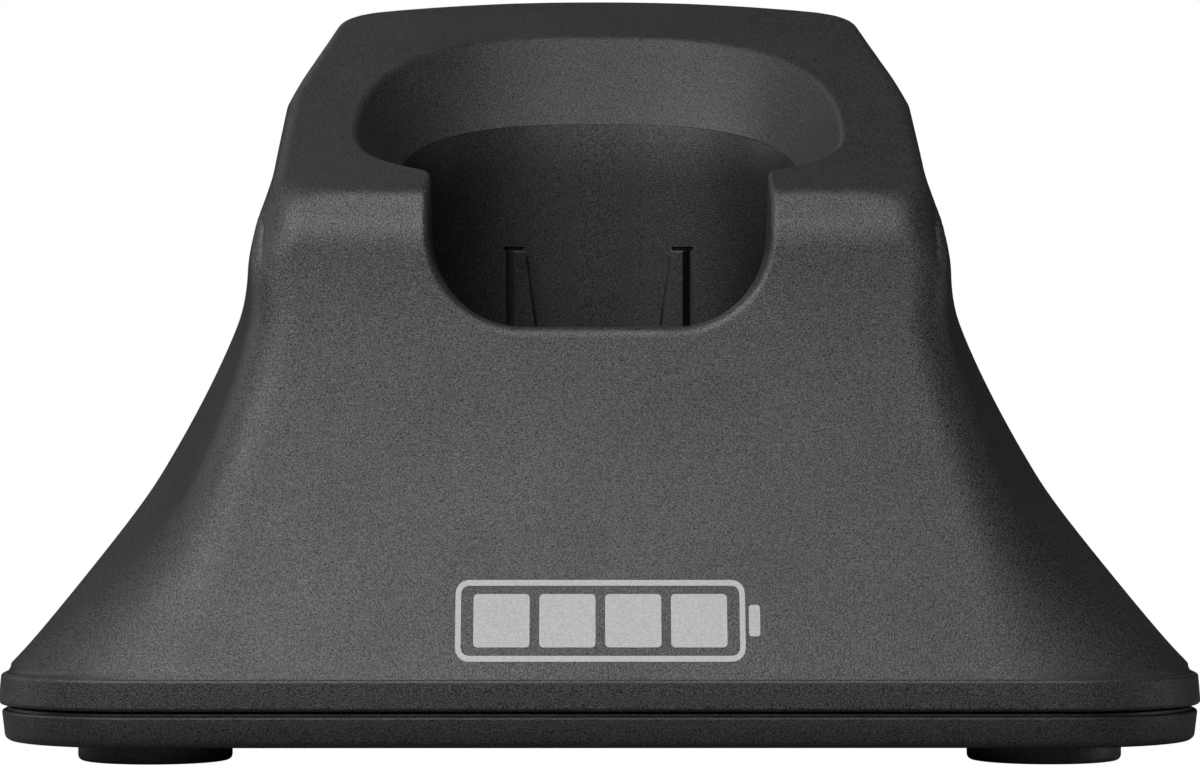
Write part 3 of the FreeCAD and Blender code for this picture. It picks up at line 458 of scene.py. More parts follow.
def skin_rows(edge, foot, rim, count):
    """Rows of the skin from rim beyond the edge loop to the foot, denser where the skin turns."""
    t = np.linspace(0, 1, PATH_STEPS)[:, None, None]
    start, end = edge - HEART, foot - HEART
    path = cast((1 - t) * start + t * end, body_form)
    normal = gradient(path, body_form)
    step = np.linalg.norm(np.diff(path, axis=0), axis=-1)
    bend = np.linalg.norm(np.diff(normal, axis=0), axis=-1)
    weight = step + BEND_WEIGHT * bend
    run = np.concatenate([np.zeros((1, path.shape[1])), np.cumsum(weight, 0)])
    length = np.concatenate([np.zeros((1, path.shape[1])), np.cumsum(step, 0)])
    share = []
    for column in range(path.shape[1]):
        first = np.interp(rim[column], length[:, column], run[:, column])
        want = np.linspace(first, run[-1, column], count)
        share.append(np.interp(want, run[:, column], length[:, column]) - rim[column])
    share = np.stack(share, 1)
    share = share / share[-1]
    window = np.hanning(SMOOTHING)[1:-1]
    window = window / window.sum()
    half = len(window) // 2
    share = sum(weight * np.roll(share, i - half, 1) for i, weight in enumerate(window))
    rows = []
    for column in range(path.shape[1]):
        want = rim[column] + share[:, column] * (length[-1, column] - rim[column])
        rows.append(
            np.stack([np.interp(want, length[:, column], path[:, column, i]) for i in range(3)], 1)
        )
    return np.stack(rows, 1)


PORT_HEIGHT = 17.1
PORT_HOLE = 4.3
PORT_RECESS = 6.5
PORT_PLANE = 100.4
PORT_BOTTOM = 94.5
PORT_CELLS = 9


def open_port(skin, middle):
    """Re-lays a square block of cells at the back as rings round the inlet, and marks them.

    From the outside in: the skin, the edge of the recess, its floor, the hole, its end."""
    row = np.abs(skin[:, middle, 2] - PORT_HEIGHT).argmin()
    n = PORT_CELLS
    i, j = np.meshgrid(np.arange(-n, n + 1), np.arange(-n, n + 1), indexing="ij")
    ring = np.maximum(np.abs(i), np.abs(j))
    angle = np.arctan2(-i, -j)
    hole = [0, 1.6, 3.0, PORT_HOLE, PORT_HOLE, PORT_HOLE + 0.3]
    recess = [PORT_RECESS - 0.1, PORT_RECESS, PORT_RECESS + 0.4, 0]
    radius = np.array(hole + recess)[ring]
    x, z = radius * np.cos(angle), PORT_HEIGHT + radius * np.sin(angle)
    depth = face_depth(x, z, 115.0, 60.0)
    floor = np.minimum(depth, PORT_PLANE)
    depth = np.where(ring == 7, depth - 0.25, depth)
    depth = np.where(ring <= 6, floor, depth)
    depth = np.where(ring == 4, floor - 0.3, depth)
    depth = np.where(ring <= 3, PORT_BOTTOM, depth)
    block = np.stack([x, depth, z], -1)
    rows, columns = slice(row - n, row + n + 1), slice(middle - n, middle + n + 1)
    skin[rows, columns] = np.where((ring < n)[..., None], block, skin[rows, columns])
    changed = np.zeros(skin.shape[:2], bool)
    changed[rows, columns] = ring <= 7
    return changed


def housing():
    """One closed sheet: the opening's wall, its rounded lip, the skin, the flange and the lining.

    Every row runs once round the stand, so the last row of the lining meets the first wall row."""
    half_edge, half_inner = rim_loops()
    half_edge = cast(half_edge - HEART, body_form)
    steps = np.linalg.norm(np.diff(half_edge, axis=0), axis=1)
    shares = np.concatenate([[0], np.cumsum(steps)]) / steps.sum()
    edge, inner = both_sides(half_edge), both_sides(half_inner)

    def ring(inset, z):
        plan = base_outline(inset, shares)
        return both_sides(np.column_stack([plan, np.full(len(plan), z)]))

    rim = RIM_NOTCH + (RIM_MOUTH - RIM_NOTCH) * step_up(edge[:, 1], 20, 7)
    skin = skin_rows(edge, ring(FLANGE_STEP, FLANGE_TOP), rim, SKIN_ROWS)
    skin[-1] = ring(FLANGE_STEP, FLANGE_TOP)
    lining = cast(skin[::-2][:LINING_ROWS] - HEART, body_form, -WALL)
    clear = np.hypot(lining[..., 0], lining[..., 2] - PORT_HEIGHT) < PORT_RECESS + 1
    clear &= lining[..., 1] > PORT_BOTTOM
    lining[clear, 1] = PORT_BOTTOM - 0.8
    changed = open_port(skin, len(half_edge) - 1)
    wall_way = inner - edge
    wall_length = np.linalg.norm(wall_way, axis=1, keepdims=True)
    wall_start = edge + wall_way / wall_length * rim[:, None]
    s = np.linspace(0, 1, 8)[1:-1, None, None]
    lip = (1 - s) ** 2 * wall_start + 2 * s * (1 - s) * edge + s**2 * skin[0]
    s = np.concatenate([[1, 0.995], np.linspace(0.95, 0, 12)])[:, None, None]
    wall = wall_start + (inner - wall_start) * s
    behind = lining[-1] - inner
    collar = inner + COLLAR * behind / np.linalg.norm(behind, axis=1, keepdims=True)
    close = inner + (collar - inner) * 0.04
    lining = np.concatenate([lining, [collar, close]])

    turn = np.linspace(0, math.pi / 2, 6)
    r = 0.4
    profile = [(FLANGE_STEP - 0.1, FLANGE_TOP), (r + FLANGE_DRAFT + 0.05, FLANGE_TOP)]
    for a in turn:
        profile.append((FLANGE_DRAFT + r - r * math.sin(a), FLANGE_TOP - r + r * math.cos(a)))
    profile += [(FLANGE_DRAFT / 2, (FLANGE_TOP + FLANGE_BOTTOM) / 2)]
    profile += [(r - r * math.cos(a), FLANGE_BOTTOM + r - r * math.sin(a)) for a in turn]
    profile += [(r + 0.08, FLANGE_BOTTOM), (FLANGE_STEP + WALL, FLANGE_BOTTOM)]
    profile += [(FLANGE_STEP + WALL, FLANGE_BOTTOM + 0.1), (FLANGE_STEP + WALL, FLANGE_TOP)]
    flange = np.stack([ring(inset, z) for inset, z in profile])

    grid = np.concatenate([wall, lip, skin, flange, lining])
    normals = grid_normals(grid)
    first = len(wall) + len(lip)
    last = first + len(skin)
    smooth = gradient(grid[first:last], body_form)
    normals[first:last] = np.where(changed[..., None], normals[first:last], smooth)
    rows, columns = grid.shape[:2]
    return build_piece(
        "housing_shell",
        grid.reshape(-1, 3),
        grid_faces(rows, columns, closed_rows=True),
        normals.reshape(-1, 3),
    )


shell = housing()
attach(shell, "stand")
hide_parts("top_housing")


def grain_group():
    """Noise at two sizes over the object's own coordinates, and how far an edge sticks out.

    Color = fine noise from Dark to Light, turned to Worn where the surface is convex.
    Normal = bump of the fine noise. Roughness = broad noise from Low to High.
    Gloss = fine noise between two middle levels."""
    group = bpy.data.node_groups.new("moulded_grain", "ShaderNodeTree")
    face = group.interface
    for name, kind in (
        ("Grain", "NodeSocketFloat"),
        ("Depth", "NodeSocketFloat"),
        ("Low", "NodeSocketFloat"),
        ("High", "NodeSocketFloat"),
        ("Dark", "NodeSocketColor"),
        ("Light", "NodeSocketColor"),
        ("Worn", "NodeSocketColor"),
    ):
        face.new_socket(name=name, in_out="INPUT", socket_type=kind)
    face.new_socket(name="Color", in_out="OUTPUT", socket_type="NodeSocketColor")
    face.new_socket(name="Roughness", in_out="OUTPUT", socket_type="NodeSocketFloat")
    face.new_socket(name="Gloss", in_out="OUTPUT", socket_type="NodeSocketFloat")
    face.new_socket(name="Normal", in_out="OUTPUT", socket_type="NodeSocketVector")
    new, join = group.nodes.new, group.links.new
    given, out = new("NodeGroupInput"), new("NodeGroupOutput")
    where, shape = new("ShaderNodeTexCoord"), new("ShaderNodeNewGeometry")
    fine, broad = new("ShaderNodeTexNoise"), new("ShaderNodeTexNoise")
    fine.inputs["Detail"].default_value = 2.0
    broad.inputs["Scale"].default_value = 90.0
    broad.inputs["Detail"].default_value = 5.0
    join(where.outputs["Object"], fine.inputs["Vector"])
    join(where.outputs["Object"], broad.inputs["Vector"])
    join(given.outputs["Grain"], fine.inputs["Scale"])
    spread = new("ShaderNodeMapRange")
    spread.inputs["From Min"].default_value = 0.36
    spread.inputs["From Max"].default_value = 0.64
    join(fine.outputs["Fac"], spread.inputs["Value"])
    speck = new("ShaderNodeMix")
    speck.data_type = "RGBA"
    join(spread.outputs["Result"], speck.inputs["Factor"])
    join(given.outputs["Dark"], speck.inputs["A"])
    join(given.outputs["Light"], speck.inputs["B"])
    edge = new("ShaderNodeMapRange")
    edge.inputs["From Min"].default_value = 0.54
    edge.inputs["From Max"].default_value = 0.75
    join(shape.outputs["Pointiness"], edge.inputs["Value"])
    rubbed = new("ShaderNodeMath")
    rubbed.operation = "MULTIPLY"
    join(edge.outputs["Result"], rubbed.inputs[0])
    join(broad.outputs["Fac"], rubbed.inputs[1])
    worn = new("ShaderNodeMix")
    worn.data_type = "RGBA"
    join(rubbed.outputs["Value"], worn.inputs["Factor"])
    join(speck.outputs["Result"], worn.inputs["A"])
    join(given.outputs["Worn"], worn.inputs["B"])
    rough = new("ShaderNodeMapRange")
    rough.inputs["From Min"].default_value = 0.3
    rough.inputs["From Max"].default_value = 0.7
    join(broad.outputs["Fac"], rough.inputs["Value"])
    join(given.outputs["Low"], rough.inputs["To Min"])
    join(given.outputs["High"], rough.inputs["To Max"])
    bump = new("ShaderNodeBump")
    join(fine.outputs["Fac"], bump.inputs["Height"])
    join(given.outputs["Depth"], bump.inputs["Distance"])
    shine = new("ShaderNodeMapRange")
    shine.inputs["To Min"].default_value = 0.26
    shine.inputs["To Max"].default_value = 0.74
    shine.inputs["From Min"].default_value = 0.3
    shine.inputs["From Max"].default_value = 0.7
    join(fine.outputs["Fac"], shine.inputs["Value"])
    join(shine.outputs["Result"], out.inputs["Gloss"])
    join(worn.outputs["Result"], out.inputs["Color"])
    join(rough.outputs["Result"], out.inputs["Roughness"])
    join(bump.outputs["Normal"], out.inputs["Normal"])
    return group


GRAIN = grain_group()


def grained(name, dark, light, worn, grain, depth, rough, metallic=0.0, gloss=None, sheen=0.0):
    """A material whose colour, roughness and bump come from the shared grain; greys or RGB."""
    made = bpy.data.materials.new(name)
    made.use_nodes = True
    tree = made.node_tree
    shader = tree.nodes["Principled BSDF"]
    shader.inputs["Metallic"].default_value = metallic
    shader.inputs["Sheen Weight"].default_value = sheen
    node = tree.nodes.new("ShaderNodeGroup")
    node.node_tree = GRAIN
    for socket, value in (("Dark", dark), ("Light", light), ("Worn", worn)):
        colour = value if isinstance(value, tuple) else (value, value, value)
        node.inputs[socket].default_value = (*colour, 1)
    node.inputs["Grain"].default_value = grain
    node.inputs["Depth"].default_value = depth * MM
    node.inputs["Low"].default_value, node.inputs["High"].default_value = rough
    tree.links.new(node.outputs["Color"], shader.inputs["Base Color"])
    tree.links.new(node.outputs["Roughness"], shader.inputs["Roughness"])
    tree.links.new(node.outputs["Normal"], shader.inputs["Normal"])
    if gloss is None:
        tree.links.new(node.outputs["Gloss"], shader.inputs["Specular IOR Level"])
    else:
        shader.inputs["Specular IOR Level"].default_value = gloss
    return made


black_plastic = grained(
    "black_grain", 0.001, 0.034, 0.055, 7000.0, 0.06, (0.42, 0.50)
)
shell.data.materials.append(black_plastic)

# ---- printed mark -----------------------------------------------------------------
# A plain battery pictogram pad-printed on the front in light grey ink: an outline with
# its terminal and four charge bars. The ink is a thin raised film.

MARK_HEIGHT = 14.6
MARK = (14.2, 3.9, 1.3)
MARK_LINE = 0.55
INK_LIFT = 0.03
INK_ROOT = 0.05
BARS = 4
BAR = (2.75, 2.55, 0.4)
BAR_PITCH = 6.45
TERMINAL = (0.55, 1.5, 0.3)
TERMINAL_GAP = 0.35
SHARP_EDGE = math.radians(35)


def rounded(half_width, half_height, radius, count=16, spread=160):
    """Rounded rectangle about (0, 0): four quarter circles joined by straight lines, spread evenly."""
    turn = np.linspace(0, math.pi / 2, count)
    corner = np.stack([np.cos(turn), np.sin(turn)], 1) * radius
    w, h = half_width - radius, half_height - radius
    a = corner + (w, h)
    b = corner[::-1] * (-1, 1) + (-w, h)
    whole = np.concatenate([a, b, -a, -b, a[:1]])
    return along(whole, np.linspace(0, 1, spread, endpoint=False))


def outward(points, faces):
    """The faces, all turned over if they enclose a negative volume."""
    triangles = np.array([(f[0], f[k], f[k + 1]) for f in faces for k in range(1, len(f) - 1)])
    a, b, c = (points[triangles[:, k]] for k in range(3))
    if (a * np.cross(b, c)).sum() > 0:
        return faces
    return [f[::-1] for f in faces]


def join_forms(parts):
    """Several (points, faces) as one, the face numbers moved along."""
    points, faces, start = [], [], 0
    for some, their in parts:
        points.append(some)
        faces += [[start + i for i in f] for f in their]
        start += len(some)
    return np.concatenate(points), faces


def fan(loop, tip):
    """Triangles from each side of a loop of vertex numbers to one more vertex, the tip."""
    return np.stack([loop, np.roll(loop, -1), np.full(len(loop), tip)], 1).tolist()


def capped(rings):
    """A stack of loops, closed at each end by a fan round the loop's middle."""
    rows, columns = rings.shape[:2]
    points = np.concatenate([rings.reshape(-1, 3), [rings[0].mean(0)], [rings[-1].mean(0)]])
    index = np.arange(rows * columns).reshape(rows, columns)
    faces = grid_faces(rows, columns).tolist()
    faces += fan(index[0], rows * columns) + fan(index[-1, ::-1], rows * columns + 1)
    return points, outward(points, faces)


def inked(loop, lift):
    """A loop of (x, z) laid on the front wall, lifted off it."""
    x, z = loop[:, 0], loop[:, 1] + MARK_HEIGHT
    return np.stack([x, face_depth(x, z) - lift, z], 1)


def battery():
    """A rounded frame, four bars and a terminal, each raised from below the wall to the ink's face."""
    outer, inner = rounded(*MARK), rounded(*(size - MARK_LINE for size in MARK))
    stack = [(outer, -INK_ROOT), (outer, INK_LIFT), (inner, INK_LIFT), (inner, -INK_ROOT)]
    ring = np.stack([inked(loop, lift) for loop, lift in stack])
    points = ring.reshape(-1, 3)
    faces = grid_faces(4, ring.shape[1], closed_rows=True).tolist()
    parts = [(points, outward(points, faces))]
    spots = [((i - (BARS - 1) / 2) * BAR_PITCH, BAR) for i in range(BARS)]
    spots.append((MARK[0] + TERMINAL[0] + TERMINAL_GAP, TERMINAL))
    for middle, size in spots:
        loop = rounded(*size)
        sizes = [(1, -INK_ROOT), (1, INK_LIFT), (0.66, INK_LIFT), (0.33, INK_LIFT)]
        rings = np.stack([inked(loop * scale + (middle, 0), lift) for scale, lift in sizes])
        parts.append(capped(rings))
    made = build_piece("battery_mark", *join_forms(parts))
    made.data.set_sharp_from_angle(angle=SHARP_EDGE)
    return made


mark = battery()
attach(mark, "stand")
mark.data.materials.append(
    grained("grey_ink", 0.34, 0.42, 0.45, 4200.0, 0.01, (0.45, 0.55), gloss=0.3)
)

# ---- cup --------------------------------------------------------------------------
# The drop-in cup that takes the butt of the clipper: black ABS with a satin wall, two
# tapered guide ribs with a relief groove beside each, and a radiused floor with two
# holes for the contacts. It hangs behind the housing's mouth on three screws.

CUP_WALL = 1.8
CUP_FLOOR = 26.0
CUP_UNDERSIDE = 23.0
CUP_FILLET = 3.0
CUP_GAP = 0.04
RIB_TOP = 52.3
RIB_OUTER = 9.7
RIB_TOP_WIDTH = 1.4
RIB_FOOT_WIDTH = 5.2
RIB_DEPTH = 1.4
GROOVE = (0.28, 0.6)
PIN_X = 5.0
PIN_DEPTH = 47.0
PIN_HOLE = 1.3
HOLE_SIDES = 32


def rib_relief(x, z):
    """How far the back wall stands in: the rib's plateau less its groove and the tick above it."""
    x = np.abs(x)
    share = (RIB_TOP - z) / (RIB_TOP - CUP_FLOOR)
    inner = RIB_OUTER - RIB_TOP_WIDTH - (RIB_FOOT_WIDTH - RIB_TOP_WIDTH) * share
    rib = step_up(x, inner - 0.3, 0.3) * (1 - step_up(x, RIB_OUTER, 0.12))
    rib = rib * (1 - step_up(z, RIB_TOP, 0.25))
    width, deep = GROOVE
    beside = step_up(x, RIB_OUTER + 0.08, 0.12) * (1 - step_up(x, RIB_OUTER + 0.08 + width, 0.12))
    beside = beside * (1 - step_up(z, RIB_TOP + width, 0.15))
    above = step_up(z, RIB_TOP + 0.2, 0.1) * (1 - step_up(z, RIB_TOP + 0.2 + width, 0.1))
    above = above * step_up(x, RIB_OUTER - 1.5, 0.1) * (1 - step_up(x, RIB_OUTER + 0.6, 0.1))
    return RIB_DEPTH * rib - deep * np.maximum(beside, above)


def flat_plate(loops, holes):
    """Triangles of a level plate: loops of vertex numbers and (x, y), the first its outline."""
    numbers = np.concatenate([numbers for numbers, _ in loops])
    flat = np.concatenate([plan for _, plan in loops])
    edges, start = [], 0
    for some, _ in loops:
        k = np.arange(len(some))
        edges += np.stack([start + k, start + (k + 1) % len(some)], 1).tolist()
        start += len(some)
    found = delaunay_2d_cdt([Vector(spot) for spot in flat.tolist()], edges, [], 1, 1e-6)
    kept = []
    for triangle in found[2]:
        middle = flat[list(triangle)].mean(0)
        if all(np.hypot(*(middle - centre)) > radius for centre, radius in holes):
            kept.append([int(numbers[k]) for k in triangle])
    return kept


def level_rings(centre, stack, sides):
    """Level circles round a centre in plan, one for each (radius, height) of the stack."""
    turn = np.linspace(0, 2 * math.pi, sides, endpoint=False)
    circle = np.stack([np.cos(turn), np.sin(turn)], 1)
    return np.stack([np.column_stack([centre + circle * a, np.full(sides, z)]) for a, z in stack])


def cup():
    """Rings of the well's superellipse: up from the floor's fillet, over the rim, down outside.

    The back wall stands in by rib_relief. Two plates with the contact holes close it below."""
    fine = np.arange(4.2, 10.8, 0.13)
    x = np.concatenate([np.arange(0, 4.0, 0.7), fine, np.arange(11.3, 16.5, 0.8)])
    back = np.stack([x, WELL[2] * oval_share(x, WELL[0])], 1)
    rest = squircle(*WELL, -math.pi / 2, oval_angle(x[-1], WELL[0]), 70)
    half = np.concatenate([rest, back[::-1][1:]])
    plan = np.concatenate([half, half[-2:0:-1] * (-1, 1)])
    x, d = plan[:, 0], plan[:, 1] + WELL_CENTRE
    reach = np.roll(plan, -1, 0) - np.roll(plan, 1, 0)
    way = np.stack([-reach[:, 1], reach[:, 0]], 1)
    way = way / np.linalg.norm(way, axis=1, keepdims=True)

    in_notch = (np.abs(x) < NOTCH_HALF) & (d < WELL_CENTRE)
    over = np.clip(np.abs(x) - NOTCH_HALF + NOTCH_CORNER, 0, NOTCH_CORNER)
    notch = NOTCH_BOTTOM + NOTCH_CORNER - np.sqrt(NOTCH_CORNER**2 - over**2)
    top = np.where(in_notch, notch, top_height(d) - FLARE_DROP) - CUP_GAP

    turn = np.linspace(0, math.pi / 2, 8)
    levels = np.concatenate([np.arange(29.2, 51.6, 0.8), np.arange(51.9, 53.6, 0.11)])
    fixed = np.concatenate([levels, np.arange(54.0, 61.0, 1.0)])
    rings = [
        (np.full(len(x), CUP_FLOOR + CUP_FILLET * (1 - math.cos(a))), CUP_FILLET * (1 - math.sin(a)))
        for a in turn
    ]
    rings += [(np.minimum(z, top - 0.1), 0.0) for z in fixed]
    rings += [(top - 0.05, 0.0), (top, -0.02), (top, -CUP_WALL + 0.2)]
    rings += [(top - 0.2, -CUP_WALL), (np.full(len(x), CUP_UNDERSIDE + 0.5), -CUP_WALL)]
    rings += [(np.full(len(x), CUP_UNDERSIDE), -CUP_WALL + 0.5)]
    grid = []
    for number, (z, inset) in enumerate(rings):
        behind = (d > WELL_CENTRE) & (number < len(turn) + len(fixed))
        relief = np.where(behind, rib_relief(x, z), 0) * step_up(z, CUP_FLOOR, 1.5)
        spot = np.stack([x, d], 1) + way * (inset + relief)[:, None]
        grid.append(np.column_stack([spot, z]))
    grid = np.stack(grid)
    rows, columns = grid.shape[:2]
    faces = grid_faces(rows, columns).tolist()
    points = [grid.reshape(-1, 3)]
    count = rows * columns
    loops_up = [(np.arange(columns), grid[0, :, :2])]
    loops_down = [(np.arange(columns) + (rows - 1) * columns, grid[-1, :, :2])]
    holes = []
    for x_pin in (-PIN_X, PIN_X):
        centre = np.array([x_pin, PIN_DEPTH])
        stack = [(PIN_HOLE + 0.3, CUP_FLOOR), (PIN_HOLE, CUP_FLOOR - 0.3), (PIN_HOLE, CUP_UNDERSIDE)]
        rings = level_rings(centre, stack, HOLE_SIDES)
        index = np.arange(3 * HOLE_SIDES).reshape(3, HOLE_SIDES) + count
        faces += (grid_faces(3, HOLE_SIDES) + count).tolist()
        loops_up.append((index[0], rings[0, :, :2]))
        loops_down.append((index[-1], rings[-1, :, :2]))
        holes.append((centre, PIN_HOLE))
        points.append(rings.reshape(-1, 3))
        count += index.size
    faces += flat_plate(loops_up, holes) + flat_plate(loops_down, holes)
    made = build_piece("clipper_cup", np.concatenate(points), faces)
    even_out(made)
    return made


def even_out(made):
    """Turns all faces of a closed mesh outward and marks its sharp edges."""
    form = bmesh.new()
    form.from_mesh(made.data)
    bmesh.ops.recalc_face_normals(form, faces=form.faces)
    form.to_mesh(made.data)
    form.free()
    made.data.shade_smooth()
    made.data.set_sharp_from_angle(angle=SHARP_EDGE)


well_cup = cup()
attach(well_cup, "stand")
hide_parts("dock_cup")
# The cup's grain is only half as light as the housing's, though both are black ABS: painted shade for the
# well the cup sits in.
well_cup.data.materials.append(
    grained("cup_satin_painted_shade", 0.001, 0.016, 0.03, 7000.0, 0.04, (0.42, 0.54))
)

# ---- tray -------------------------------------------------------------------------
# The shallow base moulding below the shadow gap, black ABS like the housing: rounded
# lower edge, flat floor and four deep sinks for the screws that hold the stand together.

TRAY_BOTTOM = 2.3
TRAY_TOP = 5.4
TRAY_INSET = 0.3
TRAY_DRAFT = 0.25
TRAY_FLOOR = 4.3
TRAY_WALL = 2.2
SEAM_LIP = 0.85
SEAM_TOP = 5.66
SINK = (3.1, 3.5)
SINK_SIDES = 40
SCREW_X, SCREW_Y = 46.0, 15.0
TRAY_ROUND, TRAY_TOP_ROUND = 0.8, 0.3


def tray():
    """Rings of the base outline from the underside round both edges to the seam and the floor.

    A plate with the four screw sinks closes it below, and a plain plate inside."""
    shares = np.linspace(0, 1, 121)

    def ring(inset, z):
        plan = base_outline(inset, shares)
        return both_sides(np.column_stack([plan, np.full(len(plan), z)]))

    turn = np.linspace(0, math.pi / 2, 6)
    low, high = TRAY_ROUND, TRAY_TOP_ROUND
    foot = TRAY_INSET + TRAY_DRAFT
    profile = [(foot + low + 0.1, TRAY_BOTTOM)]
    profile += [(foot + low * (1 - math.sin(a)), TRAY_BOTTOM + low * (1 - math.cos(a))) for a in turn]
    profile += [
        (TRAY_INSET + high * (1 - math.cos(a)), TRAY_TOP - high * (1 - math.sin(a))) for a in turn
    ]
    profile += [(SEAM_LIP, TRAY_TOP), (SEAM_LIP + 0.05, SEAM_TOP)]
    profile += [(TRAY_INSET + TRAY_WALL, SEAM_TOP), (TRAY_INSET + TRAY_WALL, TRAY_FLOOR)]
    grid = np.stack([ring(inset, z) for inset, z in profile])
    rows, columns = grid.shape[:2]
    faces = grid_faces(rows, columns).tolist()
    points, count = [grid.reshape(-1, 3)], rows * columns
    loops = [(np.arange(columns), grid[0, :, :2])]
    holes = []
    for x in (-SCREW_X, SCREW_X):
        for y in (-SCREW_Y, SCREW_Y):
            centre = np.array([x, y - FRONT / MM])
            stack = [(SINK[0] + 0.2, TRAY_BOTTOM), (SINK[0], TRAY_BOTTOM + 0.2), (SINK[0], SINK[1])]
            rings = level_rings(centre, stack, SINK_SIDES)
            index = np.arange(3 * SINK_SIDES).reshape(3, SINK_SIDES) + count
            faces += (grid_faces(3, SINK_SIDES) + count).tolist()
            faces += fan(index[-1], count + index.size)
            loops.append((index[0], rings[0, :, :2]))
            holes.append((centre, SINK[0]))
            points += [rings.reshape(-1, 3), [[*centre, SINK[1]]]]
            count += index.size + 1
    faces += flat_plate(loops, holes)
    faces += flat_plate([(np.arange(columns) + (rows - 1) * columns, grid[-1, :, :2])], [])
    made = build_piece("tray_moulding", np.concatenate(points), faces)
    even_out(made)
    return made


base = tray()
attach(base, "stand")
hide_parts("base_tray")
# The tray's grain is darker than the housing's, though both are black ABS: painted shade for the tray below
# the flange.
base.data.materials.append(
    grained("tray_grain_painted_shade", 0.001, 0.022, 0.045, 7000.0, 0.04, (0.45, 0.55))
)

# ---- feet -------------------------------------------------------------------------
# Four push-in feet in black thermoplastic rubber: a disc with a rounded rim and a
# shallow dish underneath, and a narrower collar against the tray.

FOOT_RADIUS = 7.75
FOOT_COLLAR = 6.9
FOOT_DISC = 1.8
FOOT_TOP = 2.5
FOOT_RIM, FOOT_EDGE = 0.55, 0.2
DISH_RADIUS, DISH_HEIGHT = 4.8, 0.35
FOOT_X, FOOT_Y = 44.7, 34.9


def turned(profile, count=72):
    """A (radius, height) profile turned about the z axis through (0, 0) and capped."""
    angle = np.linspace(0, 2 * math.pi, count, endpoint=False)
    radius, height = np.array(profile).T
    x = radius[:, None] * np.cos(angle)
    y = radius[:, None] * np.sin(angle)
    return capped(np.stack([x, y, np.broadcast_to(height[:, None], x.shape)], -1))


turn = np.linspace(0, math.pi / 2, 6)
foot_profile = [(DISH_RADIUS, DISH_HEIGHT), (DISH_RADIUS + 0.2, DISH_HEIGHT - 0.05)]
foot_profile += [(DISH_RADIUS + 0.6, 0.02), (DISH_RADIUS + 0.8, 0.0), (FOOT_RADIUS - FOOT_RIM, 0.0)]
foot_profile += [
    (FOOT_RADIUS - FOOT_RIM + FOOT_RIM * math.sin(a), FOOT_RIM - FOOT_RIM * math.cos(a)) for a in turn
]
foot_profile += [
    (FOOT_RADIUS - FOOT_EDGE * (1 - math.cos(a)), FOOT_DISC - FOOT_EDGE * (1 - math.sin(a))) for a in turn
]
foot_profile += [(FOOT_COLLAR + 0.1, FOOT_DISC), (FOOT_COLLAR, FOOT_DISC + 0.1), (FOOT_COLLAR, FOOT_TOP)]
# The black rubber gets a grey from 0.10 to 0.19: painted light for the highlights and light on the feet,
# which sit in the tray's shade.
rubber_with_painted_light = grained("foot_rubber", 0.10, 0.19, 0.20, 3500.0, 0.03, (0.4, 0.5), gloss=0.7, sheen=0.1)
for row, y in (("front", -FOOT_Y), ("rear", FOOT_Y)):
    for side, x in (("left", -FOOT_X), ("right", FOOT_X)):
        points, faces = turned(foot_profile)
        foot = build_piece(f"rubber_foot_{row}_{side}", points + (x, y - FRONT / MM, 0), faces)
        foot.data.set_sharp_from_angle(angle=math.radians(40))
        foot.data.materials.append(rubber_with_painted_light)
        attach(foot, "stand")
        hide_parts(f"foot_{row}_{side}")

# ---- contact springs -----------------------------------------------------------------
# Two open-ended compression springs coiled from bright music wire. Each sits in its
# barrel and pushes the contact up.

SPRING_WIRE = 0.14
SPRING_PITCH = 1.1
COIL_RINGS, WIRE_SIDES = 190, 12


def coil(low, high):
    """A round tube along a helix: the centre turns once for every pitch that it climbs,
    between the two corners of a box, and each ring lies across the helix's own direction."""
    radius = (high[0] - low[0]) / 2 - SPRING_WIRE
    climb = high[2] - low[2] - 2 * SPRING_WIRE
    share = np.linspace(0, 1, COIL_RINGS)
    angle = 2 * math.pi * climb / SPRING_PITCH * share
    out = np.stack([np.cos(angle), np.sin(angle), 0 * angle], 1)
    rise = SPRING_PITCH / (2 * math.pi * radius) + 0 * angle
    ahead = np.stack([-np.sin(angle), np.cos(angle), rise], 1)
    ahead /= np.linalg.norm(ahead, axis=1, keepdims=True)
    across = np.cross(ahead, out)
    middle = (low + high) / 2
    centre = out * radius + [middle[0], middle[1], low[2] + SPRING_WIRE]
    centre[:, 2] += climb * share
    turn = np.linspace(0, 2 * math.pi, WIRE_SIDES, endpoint=False)[None, :, None]
    section = np.cos(turn) * out[:, None] + np.sin(turn) * across[:, None]
    return capped(centre[:, None] + SPRING_WIRE * section)


spring_wire = grained("spring_wire", 0.42, 0.55, 0.7, 1500.0, 0.002, (0.25, 0.4), metallic=1.0)
for side in ("left", "right"):
    low, high = (np.array(corner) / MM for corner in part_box(f"contact_spring_{side}"))
    points, faces = coil(low - (0, FRONT / MM, 0), high - (0, FRONT / MM, 0))
    spring = build_piece(f"spring_coil_{side}", points, faces)
    spring.data.materials.append(spring_wire)
    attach(spring, "stand")
    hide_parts(f"contact_spring_{side}")
    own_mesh(spring)

# ---- contacts, electronics and fasteners --------------------------------------------
# What sits inside or below keeps its own solid: nickel-plated contacts, the glass-fibre
# board with its parts, the inlet, the wires, the ballast and the screws.

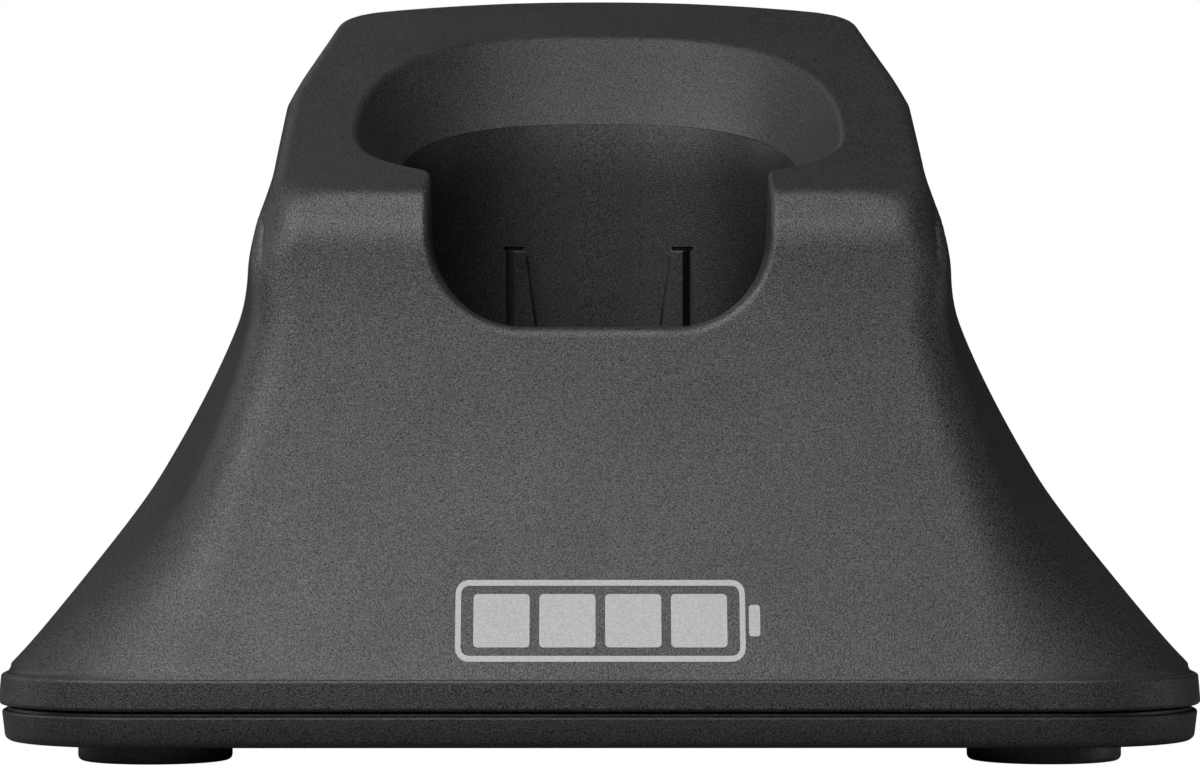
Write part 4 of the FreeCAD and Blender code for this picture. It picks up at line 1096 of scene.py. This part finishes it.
INSIDE = {
    ("contact_pin_left", "contact_pin_right", "jack_pin"): grained(
        "nickel_plate", 0.55, 0.68, 0.8, 900.0, 0.002, (0.22, 0.34), metallic=1.0
    ),
    ("contact_barrel_left", "contact_barrel_right"): grained(
        "turned_brass",
        (0.62, 0.42, 0.16),
        (0.74, 0.54, 0.24),
        (0.85, 0.7, 0.4),
        900.0,
        0.003,
        (0.25, 0.4),
        metallic=1.0,
    ),
    ("cup_screws", "block_screws", "board_screws", "ballast_screws", "base_screws"): grained(
        "zinc_plate", 0.38, 0.5, 0.7, 1200.0, 0.004, (0.3, 0.48), metallic=1.0
    ),
    ("ballast_plate",): grained(
        "rolled_steel", 0.22, 0.32, 0.5, 500.0, 0.01, (0.35, 0.55), metallic=1.0
    ),
    ("contact_block",): grained("block_nylon", 0.02, 0.04, 0.08, 1800.0, 0.01, (0.45, 0.6)),
    ("charge_board",): grained(
        "board_laminate", (0.01, 0.09, 0.03), (0.02, 0.13, 0.05), (0.2, 0.3, 0.15), 700.0, 0.01, (0.3, 0.42)
    ),
    ("capacitor",): grained(
        "shrink_sleeve", (0.01, 0.012, 0.03), (0.015, 0.02, 0.05), 0.1, 800.0, 0.005, (0.3, 0.4)
    ),
    ("power_inductor",): grained("ferrite", 0.05, 0.08, 0.12, 1600.0, 0.02, (0.5, 0.7)),
    ("charge_controller", "board_diodes"): grained(
        "moulded_epoxy", 0.012, 0.03, 0.06, 1600.0, 0.01, (0.4, 0.55)
    ),
    ("board_plug",): grained(
        "natural_nylon", (0.55, 0.52, 0.44), (0.65, 0.62, 0.53), 0.7, 600.0, 0.005, (0.4, 0.5)
    ),
    ("power_jack",): grained("jack_plastic", 0.008, 0.02, 0.05, 1800.0, 0.01, (0.3, 0.45)),
    ("lead_positive",): grained(
        "red_insulation", (0.3, 0.01, 0.01), (0.38, 0.02, 0.015), (0.5, 0.1, 0.08), 900.0, 0.005, (0.4, 0.5)
    ),
    ("lead_negative",): grained("black_insulation", 0.01, 0.02, 0.05, 900.0, 0.005, (0.4, 0.5)),
}
for names, finish in INSIDE.items():
    for name in names:
        nodes[name].data.materials.clear()
        nodes[name].data.materials.append(finish)
